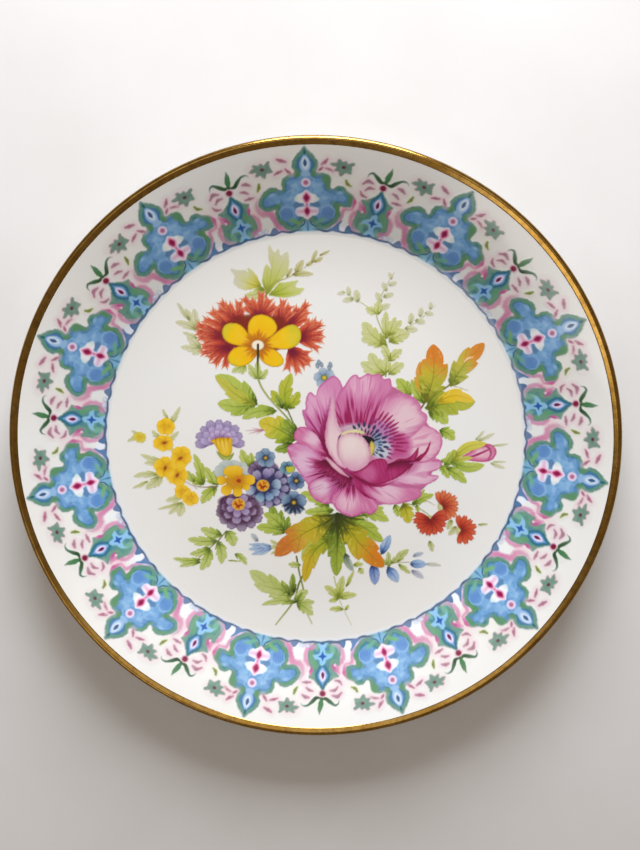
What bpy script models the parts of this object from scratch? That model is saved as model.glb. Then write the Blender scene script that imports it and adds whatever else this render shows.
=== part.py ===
"""A china dinner plate: one turned porcelain body with a foot ring, a wide flared
rim and a rounded lip, a gilt band fired round the lip, and the two fired-on enamel
transfers, a ring on the rim and a round one in the well.

The plate lies on its foot ring with its axis on +Z. Its origin is the centre of the
foot ring's resting face. Every solid is a closed profile turned about +Z.
"""

import math

import bpy

# Driving dimensions, in metres.
PLATE_RADIUS = 0.1335          # outermost radius, over the gilt band
FLOOR_HEIGHT = 0.0070          # upper face of the well's floor above the table
FLOOR_RADIUS = 0.0840          # the floor is flat out to here
VERGE_END_RADIUS = 0.0970      # the cove between floor and rim ends here
RIM_SLOPE_INNER = math.radians(26.0)
RIM_SLOPE_OUTER = math.radians(20.0)
LIP_ROUND = 0.0015             # radius of the lip's rounded edge
FLOOR_THICKNESS = 0.0039
SHOULDER_THICKNESS = 0.0044    # body thickness just outside the foot ring
FOOT_OUTER_RADIUS = 0.0790     # foot ring, where it leaves the body
FOOT_INNER_RADIUS = 0.0732
FOOT_FACE_OUTER = 0.0777       # the flat resting face of the foot ring
FOOT_FACE_INNER = 0.0752
FOOT_BEVEL = 0.0004            # the chamfers beside the resting face
FOOT_FILLET = 0.0020           # the slopes where the foot ring meets the body
FOOT_WALL_TOP = 0.0021         # height of the foot ring's walls below the fillets

# The enamel and gold layers are drawn thick enough to be solids.
LAYER_GAP = 0.0003
LAYER_THICKNESS = 0.0003
BORDER_INNER_RADIUS = 0.0930
BORDER_OUTER_RADIUS = 0.1292
BOUQUET_RADIUS = 0.0830
GILT_BAND_WIDTH = 0.0039       # seen from above, from its inner edge to the plate's edge
GILT_LAST_ANGLE = math.radians(-40.0)    # where the gilt stops under the lip

TURN_STEPS = 96
COVE_POINTS = 4
RIM_POINTS = 4
LIP_POINTS = 4

COLLECTION_NAME = "china_dinner_plate"

# Sizes that follow from the driving dimensions.
COVE_ROUND = (VERGE_END_RADIUS - FLOOR_RADIUS) / math.sin(RIM_SLOPE_INNER)
LIP_CENTRE_RADIUS = PLATE_RADIUS - LAYER_GAP - LAYER_THICKNESS - LIP_ROUND
LIP_START_RADIUS = LIP_CENTRE_RADIUS - LIP_ROUND * math.sin(RIM_SLOPE_OUTER)
GILT_INNER_RADIUS = PLATE_RADIUS - GILT_BAND_WIDTH


def clear_scene():
    """Remove every object that the new file starts with."""
    for existing in list(bpy.data.objects):
        bpy.data.objects.remove(existing, do_unlink=True)


def face_height(radius):
    """Height of the plate's upper face: flat floor, round cove, flared rim."""
    if radius <= FLOOR_RADIUS:
        return FLOOR_HEIGHT
    if radius <= VERGE_END_RADIUS:
        across = radius - FLOOR_RADIUS
        return FLOOR_HEIGHT + COVE_ROUND - math.sqrt(COVE_ROUND ** 2 - across ** 2)
    cove_top = FLOOR_HEIGHT + COVE_ROUND * (1.0 - math.cos(RIM_SLOPE_INNER))
    steepest = math.tan(RIM_SLOPE_INNER)
    flattest = math.tan(RIM_SLOPE_OUTER)
    along = radius - VERGE_END_RADIUS
    rim_width = LIP_START_RADIUS - VERGE_END_RADIUS
    return cove_top + along * (steepest - 0.5 * (steepest - flattest) * along / rim_width)


def face_slope(radius):
    """Angle of the upper face at a radius, from level."""
    if radius <= FLOOR_RADIUS:
        return 0.0
    if radius <= VERGE_END_RADIUS:
        return math.asin((radius - FLOOR_RADIUS) / COVE_ROUND)
    steepest = math.tan(RIM_SLOPE_INNER)
    flattest = math.tan(RIM_SLOPE_OUTER)
    share = (radius - VERGE_END_RADIUS) / (LIP_START_RADIUS - VERGE_END_RADIUS)
    return math.atan(steepest + (flattest - steepest) * share)


def spread(start, end, count):
    """Evenly spaced values from start to end, without the start itself."""
    return [start + (end - start) * step / count for step in range(1, count + 1)]


def raised(radius, distance):
    """The point a distance off the upper face, along the face's own normal."""
    slope = face_slope(radius)
    return (radius - distance * math.sin(slope), face_height(radius) + distance * math.cos(slope))


def lip_round(distance, last_angle):
    """Points round the lip, a distance off its surface, from the face to last_angle."""
    centre_height = face_height(LIP_START_RADIUS) - LIP_ROUND * math.cos(RIM_SLOPE_OUTER)
    reach = LIP_ROUND + distance
    first_angle = math.pi / 2.0 + RIM_SLOPE_OUTER
    points = []
    for angle in spread(first_angle, last_angle, LIP_POINTS):
        points.append((
            LIP_CENTRE_RADIUS + reach * math.cos(angle),
            centre_height + reach * math.sin(angle),
        ))
    return points


def body_thickness(radius):
    """Thickness of the wall outside the foot ring, thinning towards the lip."""
    share = (radius - FLOOR_RADIUS) / (LIP_START_RADIUS - FLOOR_RADIUS)
    return SHOULDER_THICKNESS + (2.0 * LIP_ROUND - SHOULDER_THICKNESS) * share


def body_profile():
    """Upper face from the axis to the lip, then the underside back to the axis."""
    face_radii = [0.0, FLOOR_RADIUS * 0.6, FLOOR_RADIUS]
    face_radii += spread(FLOOR_RADIUS, VERGE_END_RADIUS, COVE_POINTS)
    face_radii += spread(VERGE_END_RADIUS, LIP_START_RADIUS, RIM_POINTS)
    points = [(radius, face_height(radius)) for radius in face_radii]
    points += lip_round(0.0, RIM_SLOPE_OUTER - math.pi / 2.0)
    back_radii = spread(LIP_START_RADIUS, VERGE_END_RADIUS, RIM_POINTS)
    back_radii.append(FLOOR_RADIUS + 0.5 * (VERGE_END_RADIUS - FLOOR_RADIUS))
    points += [raised(radius, -body_thickness(radius)) for radius in back_radii]
    foot_top = FLOOR_HEIGHT - FLOOR_THICKNESS
    points += [
        (FOOT_OUTER_RADIUS + FOOT_FILLET, foot_top - 0.0001),
        (FOOT_OUTER_RADIUS, FOOT_WALL_TOP),
        (FOOT_FACE_OUTER + FOOT_BEVEL, FOOT_BEVEL),
        (FOOT_FACE_OUTER, 0.0),
        (FOOT_FACE_INNER, 0.0),
        (FOOT_FACE_INNER - FOOT_BEVEL, FOOT_BEVEL),
        (FOOT_INNER_RADIUS, FOOT_WALL_TOP),
        (FOOT_INNER_RADIUS - FOOT_FILLET, foot_top),
        (0.0, foot_top),
    ]
    return points


def layer_profile(radii):
    """A closed loop round a thin layer that lies just above the upper face."""
    top = [raised(radius, LAYER_GAP + LAYER_THICKNESS) for radius in radii]
    bottom = [raised(radius, LAYER_GAP) for radius in radii]
    return top + bottom[::-1] + top[:1]


def border_profile():
    """The ring of printed enamel on the rim."""
    radii = [BORDER_INNER_RADIUS]
    radii += spread(BORDER_INNER_RADIUS, VERGE_END_RADIUS, 2)
    radii += spread(VERGE_END_RADIUS, BORDER_OUTER_RADIUS, RIM_POINTS)
    return layer_profile(radii)


def bouquet_profile():
    """The round printed enamel in the well, open loop from axis to axis."""
    top = FLOOR_HEIGHT + LAYER_GAP + LAYER_THICKNESS
    bottom = FLOOR_HEIGHT + LAYER_GAP
    return [(0.0, top), (BOUQUET_RADIUS, top), (BOUQUET_RADIUS, bottom), (0.0, bottom)]


def gilt_profile():
    """The gold band: it starts on the face and wraps the lip's rounded edge."""
    outside = [raised(GILT_INNER_RADIUS, LAYER_GAP + LAYER_THICKNESS)]
    outside.append(raised(LIP_START_RADIUS, LAYER_GAP + LAYER_THICKNESS))
    outside += lip_round(LAYER_GAP + LAYER_THICKNESS, GILT_LAST_ANGLE)
    inside = [raised(GILT_INNER_RADIUS, LAYER_GAP)]
    inside.append(raised(LIP_START_RADIUS, LAYER_GAP))
    inside += lip_round(LAYER_GAP, GILT_LAST_ANGLE)
    return outside + inside[::-1] + outside[:1]


def turn(name, profile, material, collection):
    """Turn a profile of (radius, height) points about +Z with a Screw modifier."""
    mesh = bpy.data.meshes.new(name)
    closed = profile[0] == profile[-1]
    points = profile[:-1] if closed else profile
    edges = [(index, index + 1) for index in range(len(points) - 1)]
    if closed:
        edges.append((len(points) - 1, 0))
    mesh.from_pydata([(radius, 0.0, height) for radius, height in points], edges, [])
    turned = bpy.data.objects.new(name, mesh)
    collection.objects.link(turned)
    screw = turned.modifiers.new("turn", "SCREW")
    screw.axis = "Z"
    screw.steps = TURN_STEPS
    screw.render_steps = TURN_STEPS
    screw.use_merge_vertices = True
    screw.merge_threshold = 0.00001
    screw.use_smooth_shade = True
    mesh.materials.append(material)
    return turned


def principled(name, colour, roughness, metallic):
    """A plain Principled material."""
    material = bpy.data.materials.new(name)
    material.use_nodes = True
    shader = material.node_tree.nodes["Principled BSDF"]
    shader.inputs["Base Color"].default_value = (*colour, 1.0)
    shader.inputs["Roughness"].default_value = roughness
    shader.inputs["Metallic"].default_value = metallic
    return material


def build():
    clear_scene()
    collection = bpy.data.collections.new(COLLECTION_NAME)
    bpy.context.scene.collection.children.link(collection)

    porcelain = principled("glazed_porcelain", (0.80, 0.79, 0.74), 0.08, 0.0)
    border_enamel = principled("border_enamel", (0.22, 0.45, 0.48), 0.15, 0.0)
    bouquet_enamel = principled("bouquet_enamel", (0.66, 0.30, 0.34), 0.15, 0.0)
    gold = principled("burnished_gold", (0.42, 0.33, 0.14), 0.25, 1.0)

    turn("plate_body", body_profile(), porcelain, collection)
    turn("border_transfer", border_profile(), border_enamel, collection)
    turn("bouquet_transfer", bouquet_profile(), bouquet_enamel, collection)
    turn("gilt_rim", gilt_profile(), gold, collection)


build()
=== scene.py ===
"""The looks of a china dinner plate: thrown and turned porcelain, fired enamels and a gilt lip.

The plate lies on its foot ring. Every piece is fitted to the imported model's own sizes.
"""

# %% [markdown]
# A decorated plate is made in three steps: the body is shaped and glazed, the enamels are fired onto the
# glaze, and the gold goes on last. This lesson follows them: body, border, bouquet, gold, and then the
# studio it stands in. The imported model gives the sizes, so nothing here has to be fitted by eye.

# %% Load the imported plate
import math

import bpy
import numpy as np
from mathutils import Matrix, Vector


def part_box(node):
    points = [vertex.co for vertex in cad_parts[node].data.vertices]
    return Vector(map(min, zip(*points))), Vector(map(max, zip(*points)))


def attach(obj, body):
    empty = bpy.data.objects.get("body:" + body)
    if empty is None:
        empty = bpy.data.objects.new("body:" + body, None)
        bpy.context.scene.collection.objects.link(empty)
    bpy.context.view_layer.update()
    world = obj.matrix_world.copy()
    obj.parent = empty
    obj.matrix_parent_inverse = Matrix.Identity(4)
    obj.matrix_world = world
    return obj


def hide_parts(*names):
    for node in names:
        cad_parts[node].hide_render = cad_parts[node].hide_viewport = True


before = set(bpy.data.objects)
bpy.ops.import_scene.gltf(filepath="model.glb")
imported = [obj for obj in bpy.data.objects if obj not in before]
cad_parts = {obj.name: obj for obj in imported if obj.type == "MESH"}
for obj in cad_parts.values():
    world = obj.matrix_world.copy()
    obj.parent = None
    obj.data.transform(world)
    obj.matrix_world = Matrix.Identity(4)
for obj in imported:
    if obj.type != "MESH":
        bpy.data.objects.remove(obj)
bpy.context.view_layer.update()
MM = 0.001

bpy.ops.object.select_all(action="DESELECT")
bpy.context.scene.view_settings.view_transform = "Standard"
print("packed pieces", sorted(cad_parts))


def set_mode(mode):
    bpy.ops.object.mode_set(mode=mode)


# %% [markdown]
# The upper face of a plate is a few curves: a level well dished a little towards its edge, a short turn
# called the verge, and a rim that flattens a little towards the lip. It could be a sculpted disc, but a
# plate is turned on a wheel, so one formula for the height at each radius is truer, and the enamel layers
# can follow the same formula.

# %% The plate's section
PLATE_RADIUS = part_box("gilt_rim")[1].x / MM
FLAT_RADIUS = 66.0                                    # the well is level out to here
WELL_RADIUS = 92.0                                    # and dished a little out to here
VERGE_RADIUS = 97.0                                   # where the rim starts
VERGE_RISE = 3.0                                      # above the well
SHOULDER_RADIUS = 84.0                                # where the underside's slope starts
LAYER_GAP = 0.3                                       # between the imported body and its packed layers
WELL_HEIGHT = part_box("bouquet_transfer")[0].z / MM - LAYER_GAP
RIM_SLOPES = math.tan(math.radians(26)), math.tan(math.radians(20))
LIP_ROUND = 1.5
GILT_THICKNESS = 0.03
VERGE_WIDTH = VERGE_RADIUS - WELL_RADIUS
DISH_SLOPE = (2 * VERGE_RISE - VERGE_WIDTH * RIM_SLOPES[0]) / (VERGE_RADIUS - FLAT_RADIUS)
LIP_CENTRE = PLATE_RADIUS - GILT_THICKNESS - LIP_ROUND
LIP_START = LIP_CENTRE - LIP_ROUND * math.sin(math.radians(20))


def climb(across, width, first, last):
    """Height gained over a distance across, while the slope goes evenly from first to last over a width."""
    return across * (first + 0.5 * (last - first) * across / width)


def face_height(radius):
    """Height of the glazed upper face, in millimetres, at one radius or at many."""
    radius = np.asarray(radius, float)
    dish_width, rim_width = WELL_RADIUS - FLAT_RADIUS, LIP_START - VERGE_RADIUS
    dish = climb(np.clip(radius - FLAT_RADIUS, 0, dish_width), dish_width, 0, DISH_SLOPE)
    verge = climb(np.clip(radius - WELL_RADIUS, 0, VERGE_WIDTH), VERGE_WIDTH, DISH_SLOPE, RIM_SLOPES[0])
    return WELL_HEIGHT + dish + verge + climb(np.clip(radius - VERGE_RADIUS, 0, None), rim_width,
        *RIM_SLOPES)


def face_slope(radius):
    """Angle of the upper face from level."""
    return math.atan((face_height(radius + 0.01) - face_height(radius - 0.01)) / 0.02)


def off_face(radius, distance):
    """The point a distance off the upper face, square to it."""
    slope = face_slope(radius)
    return radius - distance * math.sin(slope), float(face_height(radius)) + distance * math.cos(slope)


print("plate radius", round(PLATE_RADIUS, 2), "mm, well height", round(WELL_HEIGHT, 2), "mm")

# %% [markdown]
# The underside follows the face at the wall's thickness, which thins towards the lip, down to the foot
# ring. The foot ring is the part that a potter trims: two short walls, a fillet where each meets the body,
# and a narrow resting face whose glaze is wiped off before firing so that the plate doesn't stick to the
# kiln shelf.

# %% The body's profile
SHOULDER_THICKNESS, FLOOR_THICKNESS = 4.4, 3.9
FOOT_CORNERS = [                                       # radius, height, how far its corner is rounded
    (81.4, WELL_HEIGHT - FLOOR_THICKNESS - 0.05, 1.5), (79.2, 2.2, 1.2), (78.0, 0.0, 0.35),
    (74.9, 0.0, 0.35), (73.1, 2.2, 1.0), (71.6, WELL_HEIGHT - FLOOR_THICKNESS, 1.2),
]


def lip_arc(distance, first, last, count):
    """Points round the lip, a distance off its surface, between two angles in degrees."""
    height = float(face_height(LIP_START)) - LIP_ROUND * math.cos(math.radians(20))
    reach = LIP_ROUND + distance
    return [(LIP_CENTRE + reach * math.cos(math.radians(angle)),
        height + reach * math.sin(math.radians(angle))) for angle in np.linspace(first, last, count)]


def rounded(corners):
    """A line through corners (radius, height, reach), each one rounded off."""
    points = []
    for before, (x, z, reach), after in zip(corners, corners[1:], corners[2:]):
        corner = np.array((x, z))
        legs = [np.array(other[:2]) - corner for other in (before, after)]
        ends = [corner + leg / np.hypot(*leg) * min(reach, 0.45 * np.hypot(*leg)) for leg in legs]
        for t in np.linspace(0, 1, 5):
            points.append(tuple((1 - t) ** 2 * ends[0] + 2 * t * (1 - t) * corner + t * t * ends[1]))
    return points


def body_profile():
    steps = [0, 12, 30, 48]
    for first, last, count in ((FLAT_RADIUS, WELL_RADIUS, 12), (WELL_RADIUS, VERGE_RADIUS, 12),
            (VERGE_RADIUS, LIP_START, 19)):
        steps += list(np.linspace(first, last, count, endpoint=False))
    upper = [(radius, float(face_height(radius))) for radius in steps + [LIP_START]]
    upper += lip_arc(0.0, 110, -70, 15)[1:]
    back = []
    for radius in np.linspace(LIP_START, SHOULDER_RADIUS + 2, 26)[1:]:
        share = (radius - SHOULDER_RADIUS) / (LIP_START - SHOULDER_RADIUS)
        back.append(off_face(radius, -(SHOULDER_THICKNESS + (2 * LIP_ROUND - SHOULDER_THICKNESS) * share)))
    foot = rounded([(*back[-1], 0)] + FOOT_CORNERS + [(50.0, WELL_HEIGHT - FLOOR_THICKNESS, 0)])
    floor = [(radius, WELL_HEIGHT - FLOOR_THICKNESS) for radius in (60, 40, 20, 0)]
    return upper + back + foot + floor


print("points in the body's profile", len(body_profile()))

# %% [markdown]
# A turned piece is one line drawn from the axis round to the axis again, and spun about it. The line is
# drawn as by hand: one vertex, extruded from point to point. After the spin the first and the last copy are
# merged, the poles close, and the normals are recalculated because a spin can leave them inside out.

# %% Turn a profile
TURN_STEPS = 384


def turn(name, profile, closed=False):
    """Extrude a vertex along a profile of (radius, height), and spin it about the plate's axis."""
    bpy.ops.mesh.primitive_plane_add(size=MM, location=(0, 0, 0))
    piece = bpy.context.active_object
    piece.name = piece.data.name = name
    set_mode("EDIT")
    bpy.ops.mesh.merge(type="CENTER")
    bpy.ops.transform.translate(value=(profile[0][0] * MM, 0, profile[0][1] * MM))
    steps = zip(profile, profile[1:] + profile[:1] if closed else profile[1:])
    for (r0, z0), (r1, z1) in steps:
        step = ((r1 - r0) * MM, 0, (z1 - z0) * MM)
        bpy.ops.mesh.extrude_region_move(TRANSFORM_OT_translate={"value": step})
    bpy.ops.mesh.select_all(action="SELECT")
    bpy.ops.mesh.spin(steps=TURN_STEPS, angle=2 * math.pi, center=(0, 0, 0), axis=(0, 0, 1))
    bpy.ops.mesh.select_all(action="SELECT")
    bpy.ops.mesh.remove_doubles(threshold=0.004 * MM)
    bpy.ops.mesh.normals_make_consistent(inside=False)
    set_mode("OBJECT")
    bpy.ops.object.shade_smooth()
    piece.select_set(False)
    print(name, len(piece.data.polygons), "faces")
    return piece


body = turn("porcelain_body", body_profile())

# %% [markdown]
# The gold is brushed on with the plate turning on a wheel: a band on the face that wraps the lip and ends
# just under it. It could be a colour on the body, but burnished gold is a skin with its own edge, so it is
# a closed C-shaped ring. Its inner side is sunk a little into the glaze, so that no gap shows.

# %% The gilt band
GILT_INNER = PLATE_RADIUS - 3.9


def gilt_profile():
    outside = [off_face(radius, GILT_THICKNESS) for radius in np.linspace(GILT_INNER + 0.06, LIP_START, 6)]
    outside += lip_arc(GILT_THICKNESS, 110, -44, 16)[1:]
    inside = lip_arc(-0.08, -47, 110, 10)
    inside += [off_face(radius, -0.08) for radius in np.linspace(LIP_START, GILT_INNER, 4)[1:]]
    return outside + inside


gilt = turn("gilt_band", gilt_profile(), closed=True)


# %% [markdown]
# The decoration of the real plate is ceramic enamel: a printed ring on the rim and a bouquet in the well,
# both fired onto the glaze. It could be modelled as a thousand loose petals, or as one plain disc with a
# picture on it. Here each transfer is one thin film whose points are painted, as with vertex paint, because
# that is what a transfer is: a single skin of colour, a few hundredths of a millimetre thick, and thicker
# where there is more paint. This cell makes the sheet that is painted on: a grid of points, each with a
# colour and a paint thickness.

# %% A sheet to paint on
def srgb(code):
    """A colour written as on a paint card, such as E4B713, as three shares of 1."""
    return np.array([int(code[i:i + 2], 16) for i in (0, 2, 4)]) / 255.0


def loads(codes):
    """Paint codes written in one row, as a list."""
    return codes.split() if isinstance(codes, str) else codes


GROUND = srgb("DDDCD6")            # bare glazed porcelain, as the paint's thin edges show it


class Sheet:
    """A grid of points in millimetres with a colour, a paint thickness and the number of its piece."""

    def __init__(self, low, high, pitch):
        columns = int(round((high[0] - low[0]) / pitch)) + 1
        rows = int(round((high[1] - low[1]) / pitch)) + 1
        self.x, self.y = np.meshgrid(np.linspace(low[0], high[0], columns),
            np.linspace(low[1], high[1], rows))
        self.colour = np.tile(GROUND, (rows, columns, 1))
        self.cover = np.zeros((rows, columns))
        self.owner = np.zeros((rows, columns), int)
        self.piece = 0

    def window(self, points, margin=1.0):
        """The block of grid points near some places, so that a small brush mark costs little."""
        low = np.min(points, 0) - margin
        high = np.max(points, 0) + margin
        columns = np.searchsorted(self.x[0], (low[0], high[0]))
        rows = np.searchsorted(self.y[:, 0], (low[1], high[1]))
        return (slice(rows[0], rows[1] + 1), slice(columns[0], columns[1] + 1))

    def lay(self, window, depth, colour, soft=0.25, strength=1.0):
        """Brush a colour on wherever depth, in millimetres inside a shape, is above nought."""
        share = np.clip(depth / soft + 0.5, 0.0, 1.0) * strength
        self.colour[window] += share[..., None] * (colour - self.colour[window])
        self.cover[window] = np.maximum(self.cover[window], share)
        self.owner[window] = np.where(share > 0.3, self.piece, self.owner[window])


# %% [markdown]
# A hand-painted edge is never quite true and a brush leaves streaks. Both come from one kind of random
# field, a grid of random numbers with smooth steps between them, always from the same seed.

# %% Random fields and gradients
LATTICE = np.random.default_rng(11).uniform(-1.0, 1.0, (64, 64))


def grain(x, y, size=1.0):
    """A smooth random field between -1 and 1, with bumps about size across."""
    x, y = np.asarray(x) / size, np.asarray(y) / size
    column, row = np.floor(x).astype(int), np.floor(y).astype(int)
    across, up = x - column, y - row
    across, up = across * across * (3 - 2 * across), up * up * (3 - 2 * up)
    low = LATTICE[row % 64, column % 64] * (1 - across) + LATTICE[row % 64, (column + 1) % 64] * across
    high = (LATTICE[(row + 1) % 64, column % 64] * (1 - across)
            + LATTICE[(row + 1) % 64, (column + 1) % 64] * across)
    return low * (1 - up) + high * up


def ease(low, high, value):
    """0 below low, 1 above high, and a smooth step between."""
    share = np.clip((value - low) / (high - low), 0.0, 1.0)
    return share * share * (3 - 2 * share)


def blend(colour, other, share):
    """Colours mixed point by point."""
    return colour + np.asarray(share)[..., None] * (other - colour)


def ramp(value, *stops):
    """A row of (place, colour code) read at each value."""
    places = [place for place, code in stops]
    colours = np.array([srgb(code) for place, code in stops])
    return np.stack([np.interp(value, places, colours[:, band]) for band in range(3)], -1)


# %% [markdown]
# Every painted shape is one of two kinds. A leaf, a stem or a seed follows a line with a width, so the cell
# below finds each point's place along that line and across it. A petal or a medallion has an outline, drawn
# through a few points by a smooth closed curve, so it finds how deep inside the outline each point lies.

# %% Shapes as fields
def curve(points, steps=6, closed=False):
    """A smooth line through some points (Catmull-Rom)."""
    points = np.asarray(points, float)
    if closed:
        around = np.vstack([points[-1:], points, points[:2]])
    else:
        around = np.vstack([2 * points[0] - points[1], points, 2 * points[-1] - points[-2]])
    out = []
    for a, b, c, d in zip(around, around[1:], around[2:], around[3:]):
        for t in np.arange(steps) / steps:
            out.append(b + 0.5 * t * (c - a + t * (2 * a - 5 * b + 4 * c - d + t * (3 * (b - c) + d - a))))
    if not closed:
        out.append(points[-1])
    return np.array(out)


def along(x, y, line):
    """Distance to a line, its sign by side, and the share of the line's length at the nearest place."""
    legs = np.diff(line, axis=0)
    lengths = np.hypot(*legs.T)
    ends = np.concatenate([[0.0], np.cumsum(lengths)])
    near = np.full(x.shape, 1e9)
    side, place = np.zeros(x.shape), np.zeros(x.shape)
    for (px, py), (lx, ly), length, start in zip(line, legs, lengths, ends):
        dx, dy = x - px, y - py
        t = np.clip((dx * lx + dy * ly) / length ** 2, 0.0, 1.0)
        gap = np.hypot(dx - t * lx, dy - t * ly)
        closer = gap < near
        near = np.where(closer, gap, near)
        side = np.where(closer, np.sign(lx * dy - ly * dx), side)
        place = np.where(closer, (start + t * length) / ends[-1], place)
    return near, side, place


def inside(x, y, outline):
    """Depth inside a closed outline in millimetres, negative outside it."""
    near = np.full(x.shape, 1e9)
    within = np.zeros(x.shape, bool)
    for (ax, ay), (bx, by) in zip(outline, np.roll(outline, -1, 0)):
        lx, ly = bx - ax, by - ay
        dx, dy = x - ax, y - ay
        t = np.clip((dx * lx + dy * ly) / (lx * lx + ly * ly + 1e-12), 0.0, 1.0)
        near = np.minimum(near, (dx - t * lx) ** 2 + (dy - t * ly) ** 2)
        if ay != by:
            within ^= ((ay > y) != (by > y)) & (dx < lx * dy / ly)
    return np.where(within, 1.0, -1.0) * np.sqrt(near)


def dab(sheet, centre, size, colour, soft=0.6, strength=1.0, turn=0.0):
    """One touch of the brush: a soft-edged ellipse of half-sizes size, turned by degrees."""
    window = sheet.window([np.subtract(centre, max(size)), np.add(centre, max(size))])
    x, y = sheet.x[window] - centre[0], sheet.y[window] - centre[1]
    c, s = math.cos(math.radians(turn)), math.sin(math.radians(turn))
    reach = np.hypot((x * c + y * s) / size[0], (y * c - x * s) / size[1])
    sheet.lay(window, (1.0 - reach) * min(size), srgb(colour), soft, strength)


def stroke(sheet, points, widths, colours, soft=0.4, strength=1.0, rough=0.0):
    """A brush line: widths are half-widths along it, colours a row of codes from its start to its end."""
    line, colours = curve(points), loads(colours)
    window = sheet.window(line, max(widths) + 0.6)
    x, y = sheet.x[window], sheet.y[window]
    near, side, place = along(x, y, line)
    width = np.interp(place, np.linspace(0, 1, len(widths)), widths)
    width = width + rough * grain(x, y, 0.8)
    stops = [(i / max(1, len(colours) - 1), code) for i, code in enumerate(colours)]
    sheet.lay(window, width - near, ramp(place, *stops), soft, strength)


def shape(sheet, points, colour, soft=0.5, strength=1.0, rough=0.15, steps=5):
    """A filled outline through some points. colour is a code, or a function of depth, x and y."""
    outline = curve(points, steps, closed=True)
    window = sheet.window(outline, soft)
    x, y = sheet.x[window], sheet.y[window]
    depth = inside(x, y, outline) + rough * grain(x, y, 0.9)
    paint = srgb(colour) if isinstance(colour, str) else colour(depth, x, y)
    sheet.lay(window, depth, paint, soft, strength)


# %% [markdown]
# The rim's border repeats eleven times. Each repeat has a large medallion, a small one, and star flowers,
# sprigs and seeds between them. One repeat is painted here, unrolled flat: x runs along the rim and y is
# the distance from the plate's axis. The ends of the sheet meet their neighbours, so what crosses an end is
# painted at both.

# %% The border's sheet
REPEATS = 11
UNROLL_RADIUS = 112.0                                  # the radius at which x keeps its true length
REPEAT = 2 * math.pi * UNROLL_RADIUS / REPEATS         # one repeat along the rim, in millimetres
VERGE_LINE = 93.8                                      # radius of the line where the border meets the well
BORDER_TOP = 129.4
BORDER_PITCH = 0.34

border = Sheet((-REPEAT / 2, VERGE_LINE - 1.6), (REPEAT / 2, BORDER_TOP), BORDER_PITCH)
print("border sheet", border.x.shape)


def shifted(points, x):
    return [(px + x, py) for px, py in points]


# %% [markdown]
# Under the drawing lies a pink wash that is deepest beside the medallions and leaves white windows between
# them.

# %% The pink wash
def paint_wash(sheet):
    for middle, reach in ((-19.3, 5.6), (19.6, 4.6)):
        for side, tall in ((-1, 10.6), (1, 10.0)):
            foot = middle + side * reach
            stroke(sheet, [(foot, 93.8), (foot + side * 0.6, 99.0), (foot - side * 1.2, 104.0)],
                [1.6, 1.9, 1.6], ["D8A9BE", "DDA8BC", "E2BFC9"], 3.0, 0.85)
        dab(sheet, (middle, 105.6), (5.4, 3.6), "DFC3C8", 3.5, 0.9)
        dab(sheet, (middle, 109.0), (3.6, 3.2), "DCC9CA", 3.5, 0.6)
        dab(sheet, (middle, 98.6), (3.0, 3.6), "DEE1DD", 2.0, 0.9)


# %% [markdown]
# Both medallions are built the same way: an outline filled from its edge inwards, grey-green, then leaf
# green or teal, then blue. The depth inside the outline chooses the colour, and a random field makes the
# bands uneven.

# %% The large medallion
LARGE = [
    (0, 129), (1.3, 127.6), (3.2, 125.6), (4.8, 123.2), (5.3, 120.9), (4.3, 118.7), (6.4, 118.4), (8.4, 118),
    (9.9, 116.6), (10.4, 114.6), (10.2, 112.6), (11.4, 112), (13.4, 113.3), (15.6, 113.3), (18, 111.5),
    (20.2, 109.9), (20.6, 107.6), (19.9, 105.2), (17.2, 104.7), (15, 105), (15.2, 103.2), (16, 101.2),
    (15, 98.9), (12.4, 96.4), (9.3, 94.3), (6.6, 94.2), (4.2, 95.6), (2.4, 97.2), (0.9, 98.3), (0, 98.4),
    (-1.2, 98.3), (-2.8, 96.9), (-4.8, 95.1), (-7.4, 94.2), (-10.6, 94.9), (-13.4, 97.3), (-15, 100),
    (-15.2, 102.4), (-14.6, 104.2), (-16.6, 103.9), (-19.6, 104.3), (-21.2, 106), (-21.6, 108),
    (-20, 110.6), (-17.6, 112.5), (-15.4, 113.5), (-13, 113.4), (-11, 112.2), (-10.2, 112.5), (-10.2, 115),
    (-9.4, 116.7), (-7.2, 117.8), (-4.4, 118.7), (-5.2, 120.8), (-4.9, 123), (-3.2, 125.6), (-1.3, 127.6),
]


def medallion_bands(depth, x, y):
    wobble = depth * (0.7 + 0.3 * ease(99, 106, y)) + 0.35 * grain(x, y, 2.2) + 0.15 * grain(x, y, 0.9)
    colour = ramp(wobble, (0, "7E958E"), (0.6, "5C8478"), (1.3, "5B9078"), (1.8, "3E7476"), (2.2, "4A7E9E"),
                  (2.9, "6D9CC4"), (5, "7BA8CE"))
    leafy = ease(0, 0.6, grain(x + 40, y + 9, 4)) * ease(0.3, 0.9, wobble) * (1 - ease(1.5, 1.9, wobble))
    colour = blend(colour, srgb("5B8F5C"), 0.75 * leafy)
    contour = np.exp(-((wobble - 3.7) / 0.3) ** 2) * ease(-0.3, 0.3, grain(x, y, 2.6))
    colour = blend(colour, srgb("4C7CAA"), 0.55 * contour)
    curl = grain(x * 0.7 + y * 0.2, y * 0.6 - x * 0.2, 0.62) * ease(2.6, 3.3, wobble)
    colour = blend(colour, srgb("8DB4D6"), 0.5 * ease(0.05, 0.7, curl))
    return blend(colour, srgb("4F80B2"), 0.4 * ease(-0.1, -0.7, curl))


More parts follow.
